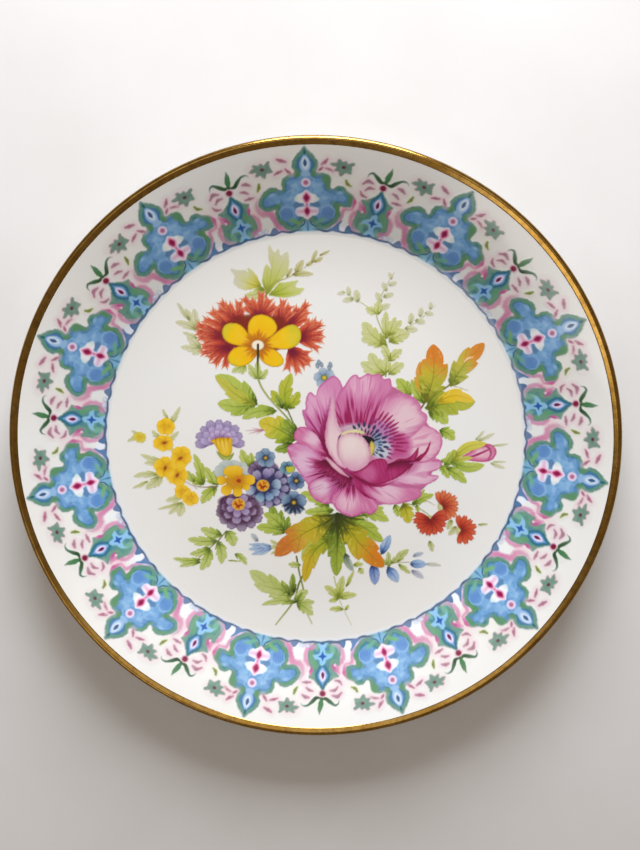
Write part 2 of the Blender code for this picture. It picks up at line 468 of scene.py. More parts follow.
def hatch(sheet, centre, size, colour, lines, lean=0):
    """Short close brush lines that darken a lobe."""
    for index in range(lines):
        across = (index + 0.5) / lines * 2 - 1
        tall = size[1] * math.sqrt(1 - 0.9 * across * across)
        x = centre[0] + across * size[0]
        stroke(sheet, [(x - lean * tall, centre[1] - tall), (x + 0.12, centre[1]),
            (x + lean * tall, centre[1] + tall)], [0.12, 0.27, 0.12], [colour, colour], 0.35, 0.85)


def paint_large(sheet):
    pink = [(-21.6, 109.6), (-22.6, 106.8), (-21.2, 103.6), (-17.6, 102.8), (-16.2, 100.6), (-14.6, 97),
            (-11, 94.8), (-7.6, 94.3)]
    stroke(sheet, pink, [0.5, 1, 1.2, 1.5, 1.3, 1.2, 1.1, 0.6],
        "BDA8AE C694A8 C4819E BF7097 C486A6 C990B0", 1, 0.9, rough=0.3)
    stroke(sheet, [(20.4, 109.6), (21.3, 107.4), (21, 105)], [0.5, 1, 0.7],
        "B77E98 BC5F8C C987A6", 0.7, rough=0.25)
    stroke(sheet, [(20.6, 104.2), (17, 103.6), (16.6, 101), (14.6, 97.6), (10.8, 95), (8.8, 94.4)],
        [0.5, 0.7, 0.6, 0.7, 0.6, 0.3], "CB9BAE C58BA6 B98DB0 CDBBD6 C9B4D2", 0.8,
        rough=0.2)
    shape(sheet, LARGE, medallion_bands, rough=0.2)

    for x, y, wide, tall, lean in ((-15.6, 108.6, 2.6, 2.2, 20), (15.4, 108.6, 3, 2, -20),
            (-9, 109.8, 3.4, 1.1, -12), (9.4, 110, 3.4, 1.1, 14), (-6.2, 115, 2, 2, 30),
            (6, 115, 2, 2.2, -30), (-8.8, 106.6, 2.2, 2.4, 10), (8.8, 106.4, 2.2, 2.4, -10)):
        dab(sheet, (x, y), (wide, tall), "6796C4", 1.4, 0.55, turn=lean)
    for x, y, wide, tall, lean in ((-18, 107.4, 1.2, 1.4, 30), (17.6, 107, 1, 1.6, -20),
            (-12.4, 111.2, 1.6, 0.7, 10), (11.8, 110.6, 1.8, 0.7, -14), (-5.6, 116.6, 1, 0.8, 20),
            (5.4, 116.6, 1.1, 0.9, -20), (-11.2, 106.6, 0.9, 1.2, 20), (11.4, 106.4, 0.9, 1.2, -20),
            (0, 112.3, 2, 0.7, 0), (-7.2, 112.8, 1.3, 1.2, 20), (8, 112.6, 1.3, 1.2, -20)):
        dab(sheet, (x, y), (wide, tall), "5480B2", 0.9, 0.7, turn=lean)
    for x, y in ((-14.6, 110.4), (14.6, 110.6), (-7.6, 108), (8, 108), (-5, 113.4), (4.8, 113.2)):
        dab(sheet, (x, y), (1.7, 0.7), "9ABCD8", 0.8, 0.6, turn=10)
    for x, y, wide, tall, lean in ((-2.9, 118.2, 1.3, 1.5, -30), (3, 118, 0.9, 1.2, 30),
            (8.4, 115.9, 1.9, 1.9, 30), (9, 113.6, 0.9, 1.5, 0), (-13, 105.6, 1.8, 0.8, 25),
            (13, 105.4, 1.9, 0.8, -30), (14.2, 103, 0.8, 2, 0), (19, 108.4, 1, 1.9, -10)):
        dab(sheet, (x, y), (wide, tall), "55885A", 0.9, 0.8, turn=lean)
    for side in (-1, 1):
        centre = (side * 9.6, 101.6)
        dab(sheet, centre, (3.3, 3.1), "668FC2", 1.4, 0.8, turn=side * 15)
        hatch(sheet, centre, (2.7, 2.4), "4876B0", 6, side * 0.1)
        stroke(sheet, [(side * 6.2, 103.4), (side * 9.6, 105), (side * 12.8, 103), (side * 12.4, 99.6)],
            [0.1, 0.35, 0.35, 0.1], "8DB4D6 7FA8CC", 0.5, 0.8)
        dab(sheet, (side * 6, 98.2), (3.2, 0.9), "6FA76C" if side < 0 else "6AA58E", 0.7, 0.9,
            turn=side * 22)
        stroke(sheet, [(side * 1.1, 98.4), (side * 2.2, 96.7), (side * 4.8, 95.4)], [0.25, 0.45, 0.35],
            "22597A 2A6684 3B7A80", 0.3)
    waist = [(-0.9, 98.4), (-1.5, 96.9), (-3.9, 95.3), (-4.6, 93.9), (4.6, 93.9), (3.9, 95.3),
        (1.5, 96.9), (0.9, 98.4)]
    shape(sheet, waist, lambda depth, x, y: ramp(depth + 0.3 * (98 - y), (0, "5E92AE"), (1.2, "7DACC8"),
        (2.4, "72A3C0")), 0.4, rough=0.05, steps=3)
    for side in (-1, 1):
        dab(sheet, (side * 5, 94.8), (2.3, 0.9), "5E8E84", strength=0.9, turn=side * 8)
    stroke(sheet, [(0, 97.6), (0, 95.6), (0, 94.2)], [0.15, 0.35, 0.6], "2E6488 3E7296", strength=0.8)


# %% The large medallion's middle
def paint_large_middle(sheet):
    shape(sheet, [(0, 126.2), (1.9, 123.9), (2.7, 121.6), (1.9, 119.6), (1.5, 117), (-1.5, 117),
        (-1.9, 119.6), (-2.7, 121.6), (-1.9, 123.9)], "8BB0D2")
    dab(sheet, (0, 126.6), (0.45, 1.1), "1F5A5C", 0.4)
    for side in (-1, 1):
        stroke(sheet, [(side * 0.6, 125.6), (side * 2.4, 123), (side * 2.6, 120.8), (side * 1.6, 118.6)],
            [0.2, 0.5, 0.5, 0.2], "3E6E9C 3E6E9C", strength=0.9)
    dab(sheet, (0.1, 122.2), (1.5, 2.7), "C3D3E4", 0.7)
    shape(sheet, [(0, 123.9), (0.75, 122.2), (0, 120.8), (-0.75, 122.2)], "35567A", 0.35, rough=0.05,
        steps=2)
    dab(sheet, (0, 114.3), (2, 1.9), "D9CBDF")
    dab(sheet, (0, 114.3), (1.05, 1), "B9718F", 0.4)
    dab(sheet, (0, 114.3), (0.45, 0.4), "8D6A8E", 0.3)

    for side in (-1, 1):
        dab(sheet, (side * 4, 105.3), (2.4, 1.3), "587FA6", turn=side * -12)
    upper = [(-5.6, 107.5), (-4.4, 109.2), (-1.9, 110), (0, 111.2), (1.9, 110), (4.2, 109), (5.6, 107.3),
             (3.6, 106), (1.6, 105.8), (0.9, 104.6), (-0.9, 104.6), (-1.6, 105.8), (-3.8, 106.1)]
    lower = [(-5.6, 102.6), (-4.4, 104), (-1.4, 104.3), (0, 105), (1.4, 104.3), (4.4, 104), (5.6, 102.6),
             (4.8, 100.8), (2.6, 100.4), (0.9, 99.2), (0, 98.8), (-0.9, 99.2), (-2.6, 100.2), (-4.8, 100.6)]
    shape(sheet, upper, lambda depth, x,
        y: ramp(np.abs(x), (0, "E7DCE2"), (3, "E4E6E6"), (5.6, "BFD6D4")), 0.45)
    shape(sheet, lower, lambda depth, x,
        y: ramp(np.abs(x), (0, "E6D2DE"), (3, "E2DCE8"), (5.6, "C9CDE4")), 0.45)
    dab(sheet, (0, 102.4), (4.2, 0.65), "D89BB8", 0.9, 0.9)
    stroke(sheet, [(0, 107), (0, 104.8), (0, 103)], [0.8, 0.55, 0.8], "C77BA0 C477A0 C77BA0", 0.6)
    for y, wide, tall in ((108, 1.5, 2), (102.4, 1.35, 1.8)):
        for grow, code in ((1.35, "DFA3C0"), (0.95, "A82A5C"), (0.6, "7C0F3E")):
            spade = [(0, y + tall * grow), (wide * grow, y), (0, y - tall * grow), (-wide * grow, y)]
            shape(sheet, spade, code, 0.45, 0.9, rough=0.08, steps=4)


# %% The small medallion
SMALL = [
    (0, 114.5), (1.3, 112.9), (3, 111), (4.9, 109.7), (6.6, 108.9), (5.7, 107), (5.6, 105), (6.6, 103.4),
    (7.3, 101), (7.2, 98.4), (6, 96.2), (3.8, 94.4), (1.6, 94), (0, 94.4), (-2.4, 94.3), (-5.6, 94.4),
    (-8.6, 95.2), (-9.9, 97.2), (-10, 99.6), (-9.2, 102.4), (-8.6, 104.4), (-6.4, 103.6), (-5.4, 105.2),
    (-7.4, 107.8), (-8, 108.8), (-5.6, 109.7), (-3.2, 110.9), (-1.2, 113),
]


def small_bands(depth, x, y):
    wobble = depth + 0.3 * grain(x + 7, y, 2) + 0.12 * grain(x, y, 0.8)
    colour = ramp(wobble, (0, "869A92"), (0.6, "64897C"), (1.4, "689480"), (2.4, "4F8284"), (3.4, "4B7C98"))
    return blend(colour, srgb("6A9A72"), 0.7 * ease(0, 0.5, grain(x, y + 30, 3)) * ease(0.5, 1.2, wobble))


def paint_small(sheet, at):
    for side, foot in ((-1, -8.2), (1, 5.6)):
        stroke(sheet, shifted([(foot - side * 0.2, 107.6), (foot - side * 0.4, 104.2),
            (foot + side * 2.6, 101.6), (foot + side * 2.2, 98), (foot + side * 0.4, 95.4)], at),
            [0.6, 1, 1.1, 1.2, 0.9], "C47E9E C26C94 C48AA4 C98BAA C98BAA", 1, 0.85,
            rough=0.3)
    shape(sheet, shifted(SMALL, at), small_bands)
    stroke(sheet, shifted([(3, 96.2), (4.4, 96.4), (6.4, 97.2)], at), [0.9, 1, 0.6],
        "C98DB2 C27FA8 B77C9C", 0.8, 0.9)
    stroke(sheet, shifted([(-9.6, 98.8), (-8.6, 96.2), (-6, 95.2)], at), [0.5, 0.9, 0.7],
        "9C97A2 B79FB4 BBA5BA", 0.9, 0.85)
    for points in ([(-7.6, 107.3), (-6.2, 105.6), (-4.7, 103.6)], [(5.9, 108), (5.4, 106.2), (5, 104.4)]):
        stroke(sheet, shifted(points, at), [0.35, 0.95, 0.3], "C98BA8 B25A8A A8608C", 0.5, rough=0.1)
    drop = [(0, 114), (1.5, 112), (3.1, 109.8), (3.5, 107.7), (2.5, 105.6), (1.2, 103.8), (-0.2, 103.2),
        (-1.6, 103.8), (-3, 105.6), (-3.9, 107.8), (-3.4, 109.8), (-1.6, 112)]
    shape(sheet, shifted(drop, at), lambda depth, x, y: ramp(depth + 0.1 * grain(x, y, 1), (0, "3E7A7C"),
        (0.7, "2D6276"), (1.2, "3F78A0"), (1.8, "7BA6CE"), (3, "9DBEDC")), 0.4)
    dab(sheet, (at - 0.2, 108.2), (1.45, 2.3), "D9CCE4")
    dab(sheet, (at - 0.3, 107.8), (0.72, 1.15), "5A1240", 0.4)
    dab(sheet, (at - 0.3, 108.8), (0.3, 0.7), "5A1240", 0.3)

    arms = [(0.2, 104.2), (1.2, 103.2), (1.4, 101.8), (3.4, 101.3), (4.9, 99.6), (3, 99.4), (1.2, 98.8),
        (1, 97), (2.6, 94.3), (-0.4, 94), (-3.6, 94.3), (-2, 97), (-2.2, 98.8), (-4.4, 99.2),
        (-6.4, 98.6), (-4.8, 100.9), (-2.4, 101.8), (-1.6, 103.2)]
    shape(sheet, shifted(arms, at), lambda depth, x,
        y: ramp(depth, (0, "7FB8C4"), (0.8, "86B6DA"), (2, "8DB9E0")))
    star = [(-0.3, 102.2), (0.25, 100.8), (1.9, 100.2), (0.25, 99.6), (-0.5, 98), (-1.2, 99.6),
        (-2.7, 100.2), (-1.1, 100.9)]
    shape(sheet, shifted(star, at), "24569C", 0.4, rough=0.05, steps=2)
    dab(sheet, (at - 0.5, 94.7), (1.2, 0.7), "2B6482", 0.4)
    dab(sheet, (at + 2.6, 96.9), (1.1, 1.4), "6BA793", 0.8, 0.8, turn=20)
    dab(sheet, (at - 5.8, 97.4), (1.6, 1.7), "76AE90", 1, 0.8)
    dab(sheet, (at + 3.2, 103.8), (1.2, 1.6), "5C9866", 0.9, 0.8)


# %% [markdown]
# Between the medallions the rim carries loose motifs: a sprig of three leaves over a crimson dot, ragged
# grey-green star flowers, and dusty pink and olive seeds.

# %% Sprigs, stars and seeds
def paint_sprig(sheet, at):
    dab(sheet, (at + 1, 119), (3.4, 2.4), "D3DCCB", 2.4, 0.6)
    dab(sheet, (at, 115.5), (1.7, 1.5), "C98BA2", 1, 0.8)
    dab(sheet, (at, 115.5), (1.2, 1.1), "741334", 0.5)
    stroke(sheet, shifted([(0.5, 117.4), (0.9, 120.2), (1.4, 122.2), (1.5, 124.2)], at),
        [0.5, 1.15, 0.9, 0.08], "3E6F48 3F7448 4F7A54 6D8A72", 0.3)
    stroke(sheet, shifted([(0.4, 117.8), (-1.4, 117.7), (-3.4, 119.2), (-5.2, 120.5), (-6.6, 119.9),
        (-7.1, 118.5)], at), [0.3, 0.75, 0.85, 0.55, 0.35, 0.12],
        "31502F 31502F 3F6447 587464 8A9A8A", 0.3)
    stroke(sheet, shifted([(0.9, 117.4), (2.8, 117.2), (4.6, 118.8), (6.6, 120.4), (8.6, 120.5),
        (9.4, 119.6)], at), [0.3, 0.75, 0.8, 0.5, 0.35, 0.12],
        "2F4A30 2B4630 3F6447 5A7666 8C9B8C", 0.3)


STAR_POINTS = [(20, 5), (62, 3.5), (106, 4.4), (150, 5.2), (196, 4.2), (246, 4.6), (304, 4.4)]


def paint_star(sheet, centre, turn):
    dab(sheet, np.subtract(centre, (0.8, -0.4)), (5, 3.6), "D9C6C6", 2.2, 0.5)
    points = []
    for angle, reach in STAR_POINTS:
        for step, share in ((-0.42, 0.66), (-0.1, 0.94), (0.12, 0.96)):
            swing = math.radians(angle + turn) + step
            points.append((centre[0] + reach * share * math.cos(swing),
                centre[1] + 0.8 * reach * share * math.sin(swing)))
    shape(sheet, shifted(points, -0.35), "C3A0A2", strength=0.75, rough=0.2, steps=3)
    shape(sheet, points, lambda depth, x,
        y: blend(ramp(depth, (0, "7F8E84"), (0.7, "6C8A7C"), (2.2, "66857A")), srgb("7FA08C"),
        0.5 * ease(0, 0.7, grain(x, y, 1.3))), 0.4, rough=0.2, steps=3)
    dab(sheet, centre, (0.75, 0.6), "5B2A30", 0.5)


PINK_SEEDS = [
    [(-8.4, 115.6), (-6.6, 117), (-4.4, 116.4)], [(-7, 113.1), (-5.6, 114.3), (-3.6, 114.4)],
    [(-8.9, 112.3), (-8, 110.9), (-6, 110.3)], [(6.1, 117.1), (7.6, 116.9), (9, 116.1)],
    [(4.4, 114.4), (6, 114), (7.3, 113.1)], [(5.4, 110.8), (7.4, 110.9), (9.2, 110.9)],
]
LARGE_SEEDS = [
    [(-10.6, 124.6), (-9.2, 123.9), (-7.4, 123.2)], [(-12.4, 118.5), (-10.8, 119.2), (-9.2, 119.7)],
    [(-7.8, 120.3), (-7, 119.3), (-5.8, 118.2)], [(8.6, 123.9), (7.6, 122.6), (6.4, 121.6)],
    [(8, 120.2), (9.6, 119.8), (11, 119)], [(6.8, 120.4), (6, 119.8), (5.4, 119.2)],
]


def paint_seeds(sheet, seeds, at, codes):
    for index, seed in enumerate(seeds):
        width = 0.62 if index % 3 else 0.75
        stroke(sheet, shifted(seed, at), [0.8 + width, 1 + width, 0.8 + width], "DCC0C6 DCC0C6", 1.4,
            0.5)
        stroke(sheet, shifted(seed, at), [width * 0.55, width, width * 0.6], codes, 0.5, rough=0.1)


def paint_loose_motifs(sheet):
    for at in (-REPEAT / 2, REPEAT / 2):
        paint_sprig(sheet, at)
        paint_seeds(sheet, PINK_SEEDS, at, "AE8290 A07382 AA8490")
    paint_seeds(sheet, LARGE_SEEDS, 0, "AE7689 A2657C AC808C")
    paint_star(sheet, (-16.8, 121.3), 28)
    paint_star(sheet, (15, 121), 12)
    for seed in ([(-19.2, 115.9), (-19.6, 114.4), (-20.6, 113)],
            [(16.6, 115.8), (17.2, 114.5), (18.8, 113.7)]):
        stroke(sheet, seed, [0.9, 1.3, 0.9], "D2D6B8 D2D6B8", 1.2, 0.6)
        stroke(sheet, seed, [0.45, 0.7, 0.35], "7F8A50 76803C 8A9456", rough=0.1)


# %% [markdown]
# The line at the verge is a row of small scallops in dark blue, thin between its knots.

# %% The verge line
def paint_verge(sheet):
    half = REPEAT / 2
    below = sheet.y < VERGE_LINE - 0.2
    sheet.colour[below] = GROUND
    sheet.cover[below] = 0
    stroke(sheet, [(-half - 1, 93.5), (0, 93.5), (half + 1, 93.5)], [0.5, 0.5], "C6D2DC C6D2DC", 1, 0.6)
    for x0, x1, x2 in ((-22.4, -18, -13.6), (-13.6, -9, -4.6), (4.6, 9, 13.2)):
        stroke(sheet, [(x0, 94.7), (x1, 93.9), (x2, 94.7)], [0.35, 0.5, 0.35],
            "4C6484 3F5670 4C6484")
    for x0, x1 in ((13.2, 23.6), (-half, -22.4), (23.6, half)):
        stroke(sheet, [(x0, 94.5), ((x0 + x1) / 2, 94.1), (x1, 94.5)], [0.38, 0.48, 0.38],
            "46607E 3E5876")
    for x in (-24.6, -21.4):
        dab(sheet, (x, 95.7), (1.5, 1), "A9B6C8", 0.7, 0.8)
        dab(sheet, (x + 0.2, 95.9), (0.8, 0.5), "D5DCE4", 0.5, 0.8)
    shape(sheet, [(-19.4, 94.2), (-18.6, 95.6), (-17, 96.8), (-15.6, 95.8), (-14.8, 94.4)], "63799A",
        steps=3)
    shape(sheet, [(10.2, 94.4), (13.4, 96.4), (16.8, 99.2), (16, 96.4), (15.4, 94.4)], "587AA4", 0.4,
        rough=0.1)
    dab(sheet, (17.6, 96.4), (1.9, 1.9), "DEE4EC", 0.8)
    shape(sheet, [(18.9, 94.4), (20.2, 97.5), (23, 94.4)], "517096", 0.4, rough=0.1, steps=3)
    stroke(sheet, [(22, 95.1), (24.6, 94.6), (27.6, 94.8)], [0.35, 0.45, 0.35], "465C78 4F6884", 0.35)


def paint_border(sheet):
    paint_wash(sheet)
    paint_large(sheet)
    paint_large_middle(sheet)
    for at in (-REPEAT / 2, REPEAT / 2):
        paint_small(sheet, at)
    paint_verge(sheet)
    paint_loose_motifs(sheet)


paint_border(border)
print("painted share of the border", round(float(np.mean(border.cover > 0.05)), 2))


# %% [markdown]
# The bouquet is painted on a second sheet that covers the well. Each group of flowers or leaves gets its
# own number, and becomes a film of its own later. What lies at the back is painted first, as on the real
# plate.

# %% The bouquet's sheet
BOUQUET_PITCH = 0.3
BOUQUET_PIECES = ["leaves_top", "leaves_right", "leaves_bottom", "leaves_left", "carnation", "buttercup",
    "peony", "primroses", "yellow_blossoms", "scabious", "red_daisies", "bluebells", "rose_bud"]

bouquet = Sheet((-89, -88), (89, 89), BOUQUET_PITCH)
print("bouquet sheet", bouquet.x.shape)


def start(sheet, name):
    sheet.piece = BOUQUET_PIECES.index(name)


# %% [markdown]
# A painted leaf is two or three brush loads: a dark load at the stalk drawn out towards the tip, a lighter
# side, and fine veins put in last. Its edge is cut into soft teeth.

# %% Leaves
def leaf(sheet, base, tip, width, bend=0, codes="5E7A24 9DB548 BCCB6A", tip_code=None, teeth=3, lit=1,
         fade=0, cut=0.32):
    """width is half the breadth, cut the depth of the teeth, lit the side that takes the lighter load."""
    base, tip, codes = np.array(base, float), np.array(tip, float), loads(codes)
    length = math.hypot(*(tip - base))
    aside = np.array([base[1] - tip[1], tip[0] - base[0]]) / length
    line = curve([base, (base + tip) / 2 + bend * aside, tip], 7)
    window = sheet.window(line, width * 1.5 + 0.6)
    x, y = sheet.x[window], sheet.y[window]
    near, side, place = along(x, y, line)
    notch = (place * teeth + 0.35 * side + 0.4) % 1
    half = width * 2.78 * (place + 0.01) ** 0.62 * (1 - place) ** 0.74
    half = half * (1 - cut * (1 - notch) ** 2 * np.clip(place * 4, 0, 1)) + 0.1 * grain(x, y, 0.8)
    across = np.clip(near / np.maximum(half, 0.05), 0, 1)
    streak = grain(place * length / 0.9 - across * 2.4 + 9 * side, across * width * 0.6 + length, 1)
    colour = ramp(place + 0.1 * streak, (0, codes[0]), (0.16, codes[1]), (0.55, codes[2]), (1, codes[2]))
    colour = blend(colour, srgb(codes[1]), 0.55 * (side * lit < 0) * ease(1, 0.2, place))
    if tip_code:
        colour = blend(colour, srgb(tip_code), ease(0.4, 0.78,
            place + 0.1 * streak - 0.08 * across * side * lit))
    colour = blend(colour, srgb("E4E3C0"), 0.22 * ease(0.1, 0.8, streak) * ease(0.15, 0.5, across))
    vein = (place * teeth + 0.35 * side + 0.4 + (1 - across) * 0.7) % 1
    fine = ease(0.14 * teeth / length + 0.06, 0, np.abs(vein - 0.93)) * ease(1, 0.7, across)
    colour = blend(colour, srgb(codes[0]), 0.36 * fine * (1 - 0.5 * place))
    colour = blend(colour, srgb(codes[0]), 0.3 * ease(0.3, 0, half - near))
    colour = blend(colour, srgb(codes[0]) * 0.85, (0.7 - fade) * ease(0.34, 0.08, near) * (1 - place) ** 0.9)
    colour = blend(colour, srgb(codes[0]) * 0.85, 0.75 * ease(0.3, 0.02, place + 0.12 * streak))
    colour = blend(colour, GROUND, fade * (0.55 + 0.45 * place))
    sheet.lay(window, half - near, colour, 0.28)


def leaves(sheet, rows, **style):
    """Many leaves of one kind: each row is base x, base y, tip x, tip y, width and bend."""
    for bx, by, tx, ty, width, bend in rows:
        leaf(sheet, (bx, by), (tx, ty), width, bend, **style)


def lobed_leaf(sheet, points, base, tip, codes, veins=()):
    """A broad leaf with a drawn outline. Its load runs out from the base, and veins is where they end."""
    codes = loads(codes)

    def load(depth, x, y):
        place = np.hypot(x - base[0], y - base[1]) / math.hypot(tip[0] - base[0], tip[1] - base[1])
        turn = np.arctan2(y - base[1], x - base[0])
        streak = grain(turn * 7, place * 1.6 + base[0])
        colour = ramp(place + 0.14 * streak, (0.05, codes[0]), (0.28, codes[1]), (0.65, codes[2]),
            (1, codes[3]))
        return blend(colour, srgb(codes[0]), 0.25 * ease(0.5, 0, depth) * ease(1.2, 0.3, place))
    shape(sheet, points, load)
    for end in veins:
        middle = (np.array(base) * 0.55 + np.array(end) * 0.45) + (0.3, -0.3)
        stroke(sheet, [base, middle, end], [0.32, 0.2, 0.06], codes[:2], strength=0.6)


def stem(sheet, points, width, codes="6E7C3E 8C9A52"):
    stroke(sheet, points, [width, width * 0.9, width * 0.7], codes, 0.25, rough=0.05)


PALE = "8E9A5A C3CB98 D3D6B8"
SPRING = "86942E BCC872 CBD29A"
GREEN = "4F6A1C 93AC3E B4C45C"
DARK = "36481A 5E7828 8CA63E"
OLIVE = "6E7420 A9AC2A C2BC3C"


def paint_leaves_top(sheet):
    start(sheet, "leaves_top")
    fresh = "8A962C B9C45E CBD296 D6D8BE"
    lobed_leaf(sheet, [(-23.4, 69.6), (-24.5, 73), (-26, 75.6), (-28.8, 78), (-28.9, 76.2), (-30.2, 77),
        (-33, 77.2), (-36.5, 77.5), (-34.9, 74.6), (-35.4, 71.6), (-33.6, 69.8), (-30.6, 68.4),
        (-26, 69.2)], (-23.4, 69.6), (-33.6, 76), "8A962C CCC552 D0D5A4 D2D4C0",
        [(-28.6, 76.6), (-33, 72.8)])
    lobed_leaf(sheet, [(-19.6, 66.2), (-16.8, 69.6), (-15.2, 71.4), (-11, 72), (-7.2, 72.6), (-8.2, 70.6),
        (-7.8, 69.4), (-4.6, 69), (-6.6, 66.4), (-9.8, 65.6), (-13.6, 65.1)], (-19.6, 66.2), (-5, 68.8),
        "86942E A9B83E C4CE7C CBD29A", [(-8.4, 71.8), (-7, 67.4)])
    leaves(sheet, [(-22.5, 69, -30.5, 66, 2, 1.2)], codes=SPRING, teeth=2)
    lobed_leaf(sheet, [(-20.6, 66.8), (-22.5, 70.6), (-22.6, 74.6), (-21, 79.4), (-18.8, 77.6),
        (-19.9, 82.8), (-19.6, 88), (-17.3, 84.8), (-15.6, 86.4), (-14.6, 83.4), (-11.4, 84.8),
        (-11.3, 78), (-12.8, 74.6), (-16.2, 71.2), (-19, 68.2)], (-20.6, 66.8), (-14.6, 86.2), fresh,
        [(-13.4, 81), (-18, 83), (-21, 76.4)])
    stem(sheet, [(-21.5, 65), (-20, 69), (-15.5, 73)], 0.35, "7E8634 A8AE62")
    stem(sheet, [(-24.5, 70.2), (-22.4, 69), (-21, 66.2)], 0.3, "8A9038 7E8634")
    stem(sheet, [(-16, 72), (-9, 75), (-3, 79), (6.5, 85.5)], 0.22, "A4A86A C6C9A4 D4D6C4")
    leaves(sheet, [(-9.5, 75, -0.4, 75.2, 1.3, 0.5), (-8, 76, -4.6, 81.4, 1.5, 0.3),
        (-12, 74, -9.6, 78, 0.9, 0.2), (-3.4, 79, -0.4, 81, 0.9, 0), (-1, 80, 1.2, 85.6, 0.9, 0.2),
        (0, 80.5, 3.8, 82.4, 0.8, 0), (2.5, 83.4, 6.8, 85.4, 0.6, 0)],
        codes="9A9150 B9BC74 CBCDA0", fade=0.1, teeth=1)
    leaves(sheet, [(-51.5, 52, -57, 60.5, 1.6, 0.5), (-51.5, 51, -53, 60.4, 1.7, 0.4),
        (-52, 51, -61.5, 54.5, 1.7, -0.5), (-50.5, 43, -56.5, 48.4, 1.8, 0.4),
        (-50.5, 42.5, -59.5, 43.4, 1.6, 0.2), (-50, 42, -54.5, 40, 1.2, 0), (-55, 55, -60.4, 63, 1, 0.2),
        (-52, 47, -58.4, 50, 1.1, 0)], codes=PALE, teeth=2, fade=0.1)


def paint_leaves_right(sheet):
    start(sheet, "leaves_right")
    stem(sheet, [(31.5, 30), (33, 38), (31, 47), (27, 59), (30.5, 68), (35, 76)], 0.28,
        "8E9848 A8AE70 D0D2BC")
    stem(sheet, [(32, 47), (38, 50), (46, 55), (53, 61.5)], 0.2, "A2A868 D0D2BC")
    stem(sheet, [(28, 58), (21, 62.5), (12, 68.4)], 0.2, "A8AE70 D2D4BE")
    for x0, y0, x1, y1, count in ((19, 63, 11.5, 68.6, 4), (28, 60, 35, 75.6, 6), (40, 51.5, 53, 61.5, 6)):
        for index in range(count):
            t = index / count
            at = (x0 + (x1 - x0) * t, y0 + (y1 - y0) * t)
            swing = math.atan2(y1 - y0, x1 - x0) + (0.8 if index % 2 else -0.8)
            long = 5.6 * (1 - 0.5 * t)
            leaf(sheet, at, (at[0] + long * math.cos(swing), at[1] + long * math.sin(swing)), 1.5 - 0.7 * t,
                 codes=PALE, teeth=1, fade=0.15 + 0.45 * t)
    leaves(sheet, [(31, 31, 20.5, 36.4, 2.8, 0.8), (31, 31, 24.4, 40.6, 3.2, 0.8),
        (31.5, 31.5, 31.8, 39, 2.2, 0), (33, 31, 39.6, 35.8, 2.4, 0.5), (33, 37, 38.6, 42, 2.1, 0.4),
        (31.5, 44, 20.6, 46.6, 3, -1), (30.5, 44.5, 21.4, 54.4, 3.4, 1.2), (31.6, 47, 31.4, 59, 1.9, 0.2),
        (33.2, 45.5, 42, 49.2, 3.1, 0.8), (33, 48.5, 38.4, 54.8, 2.2, 0.4),
        (32.6, 48, 35.6, 56.4, 1.8, 0), (33.5, 38, 30, 44, 1.8, 0.3), (27.4, 58.5, 22.6, 60.6, 1.8, 0.3),
        (28, 57.5, 28.4, 64, 1.8, 0.2)], codes=SPRING, teeth=3, fade=0.05)
    leaves(sheet, [(41.5, 20, 36.4, 29, 3, -1), (56, 5.5, 62.6, 1.2, 2.6, 0.8)], codes=GREEN)
    stem(sheet, [(47, 15), (51, 20.5), (58, 24.6), (62.5, 29)], 0.4, "6A6A2C 7A7434")
    stem(sheet, [(59.4, 25.6), (60.6, 28), (61, 32.4)], 0.2, "7A7434 A6A468")
    stem(sheet, [(60, 26), (64, 25), (68.4, 23.6)], 0.15, "8A8440 C0BE94")
    leaves(sheet, [(48.6, 18, 43, 28.6, 2.2, 0.6), (51, 13.8, 59.4, 8.6, 3.2, 1.2)], codes=GREEN)
    leaf(sheet, (50.5, 19.5), (46.8, 36.6), 2.6, 1.6, "8C8A2A BDA62E D8A238",
        "D99436", teeth=2)
    leaf(sheet, (50, 19), (52.4, 44.4), 6, -1.6, "767A24 A8AE3A C8B83A", "D9822E",
        teeth=3)
    leaf(sheet, (60.5, 26), (74.8, 45), 4.4, 1, "7C8A2E A8B24A C9BA4A", "DB8B36",
        teeth=3)
    stroke(sheet, [(66.4, 36.6), (67.8, 38), (70, 38.6)], [0.25, 0.5, 0.3], "F1DDBE EBC9A0")
    leaf(sheet, (50, 15.8), (71.4, 18.6), 5.4, 0.8, "66781E 94A634 B6BC44", teeth=3)
    leaf(sheet, (54.5, 18.6), (71, 18.9), 2.9, 2.6, "B9A92C DDBE22 E2C440", teeth=2)


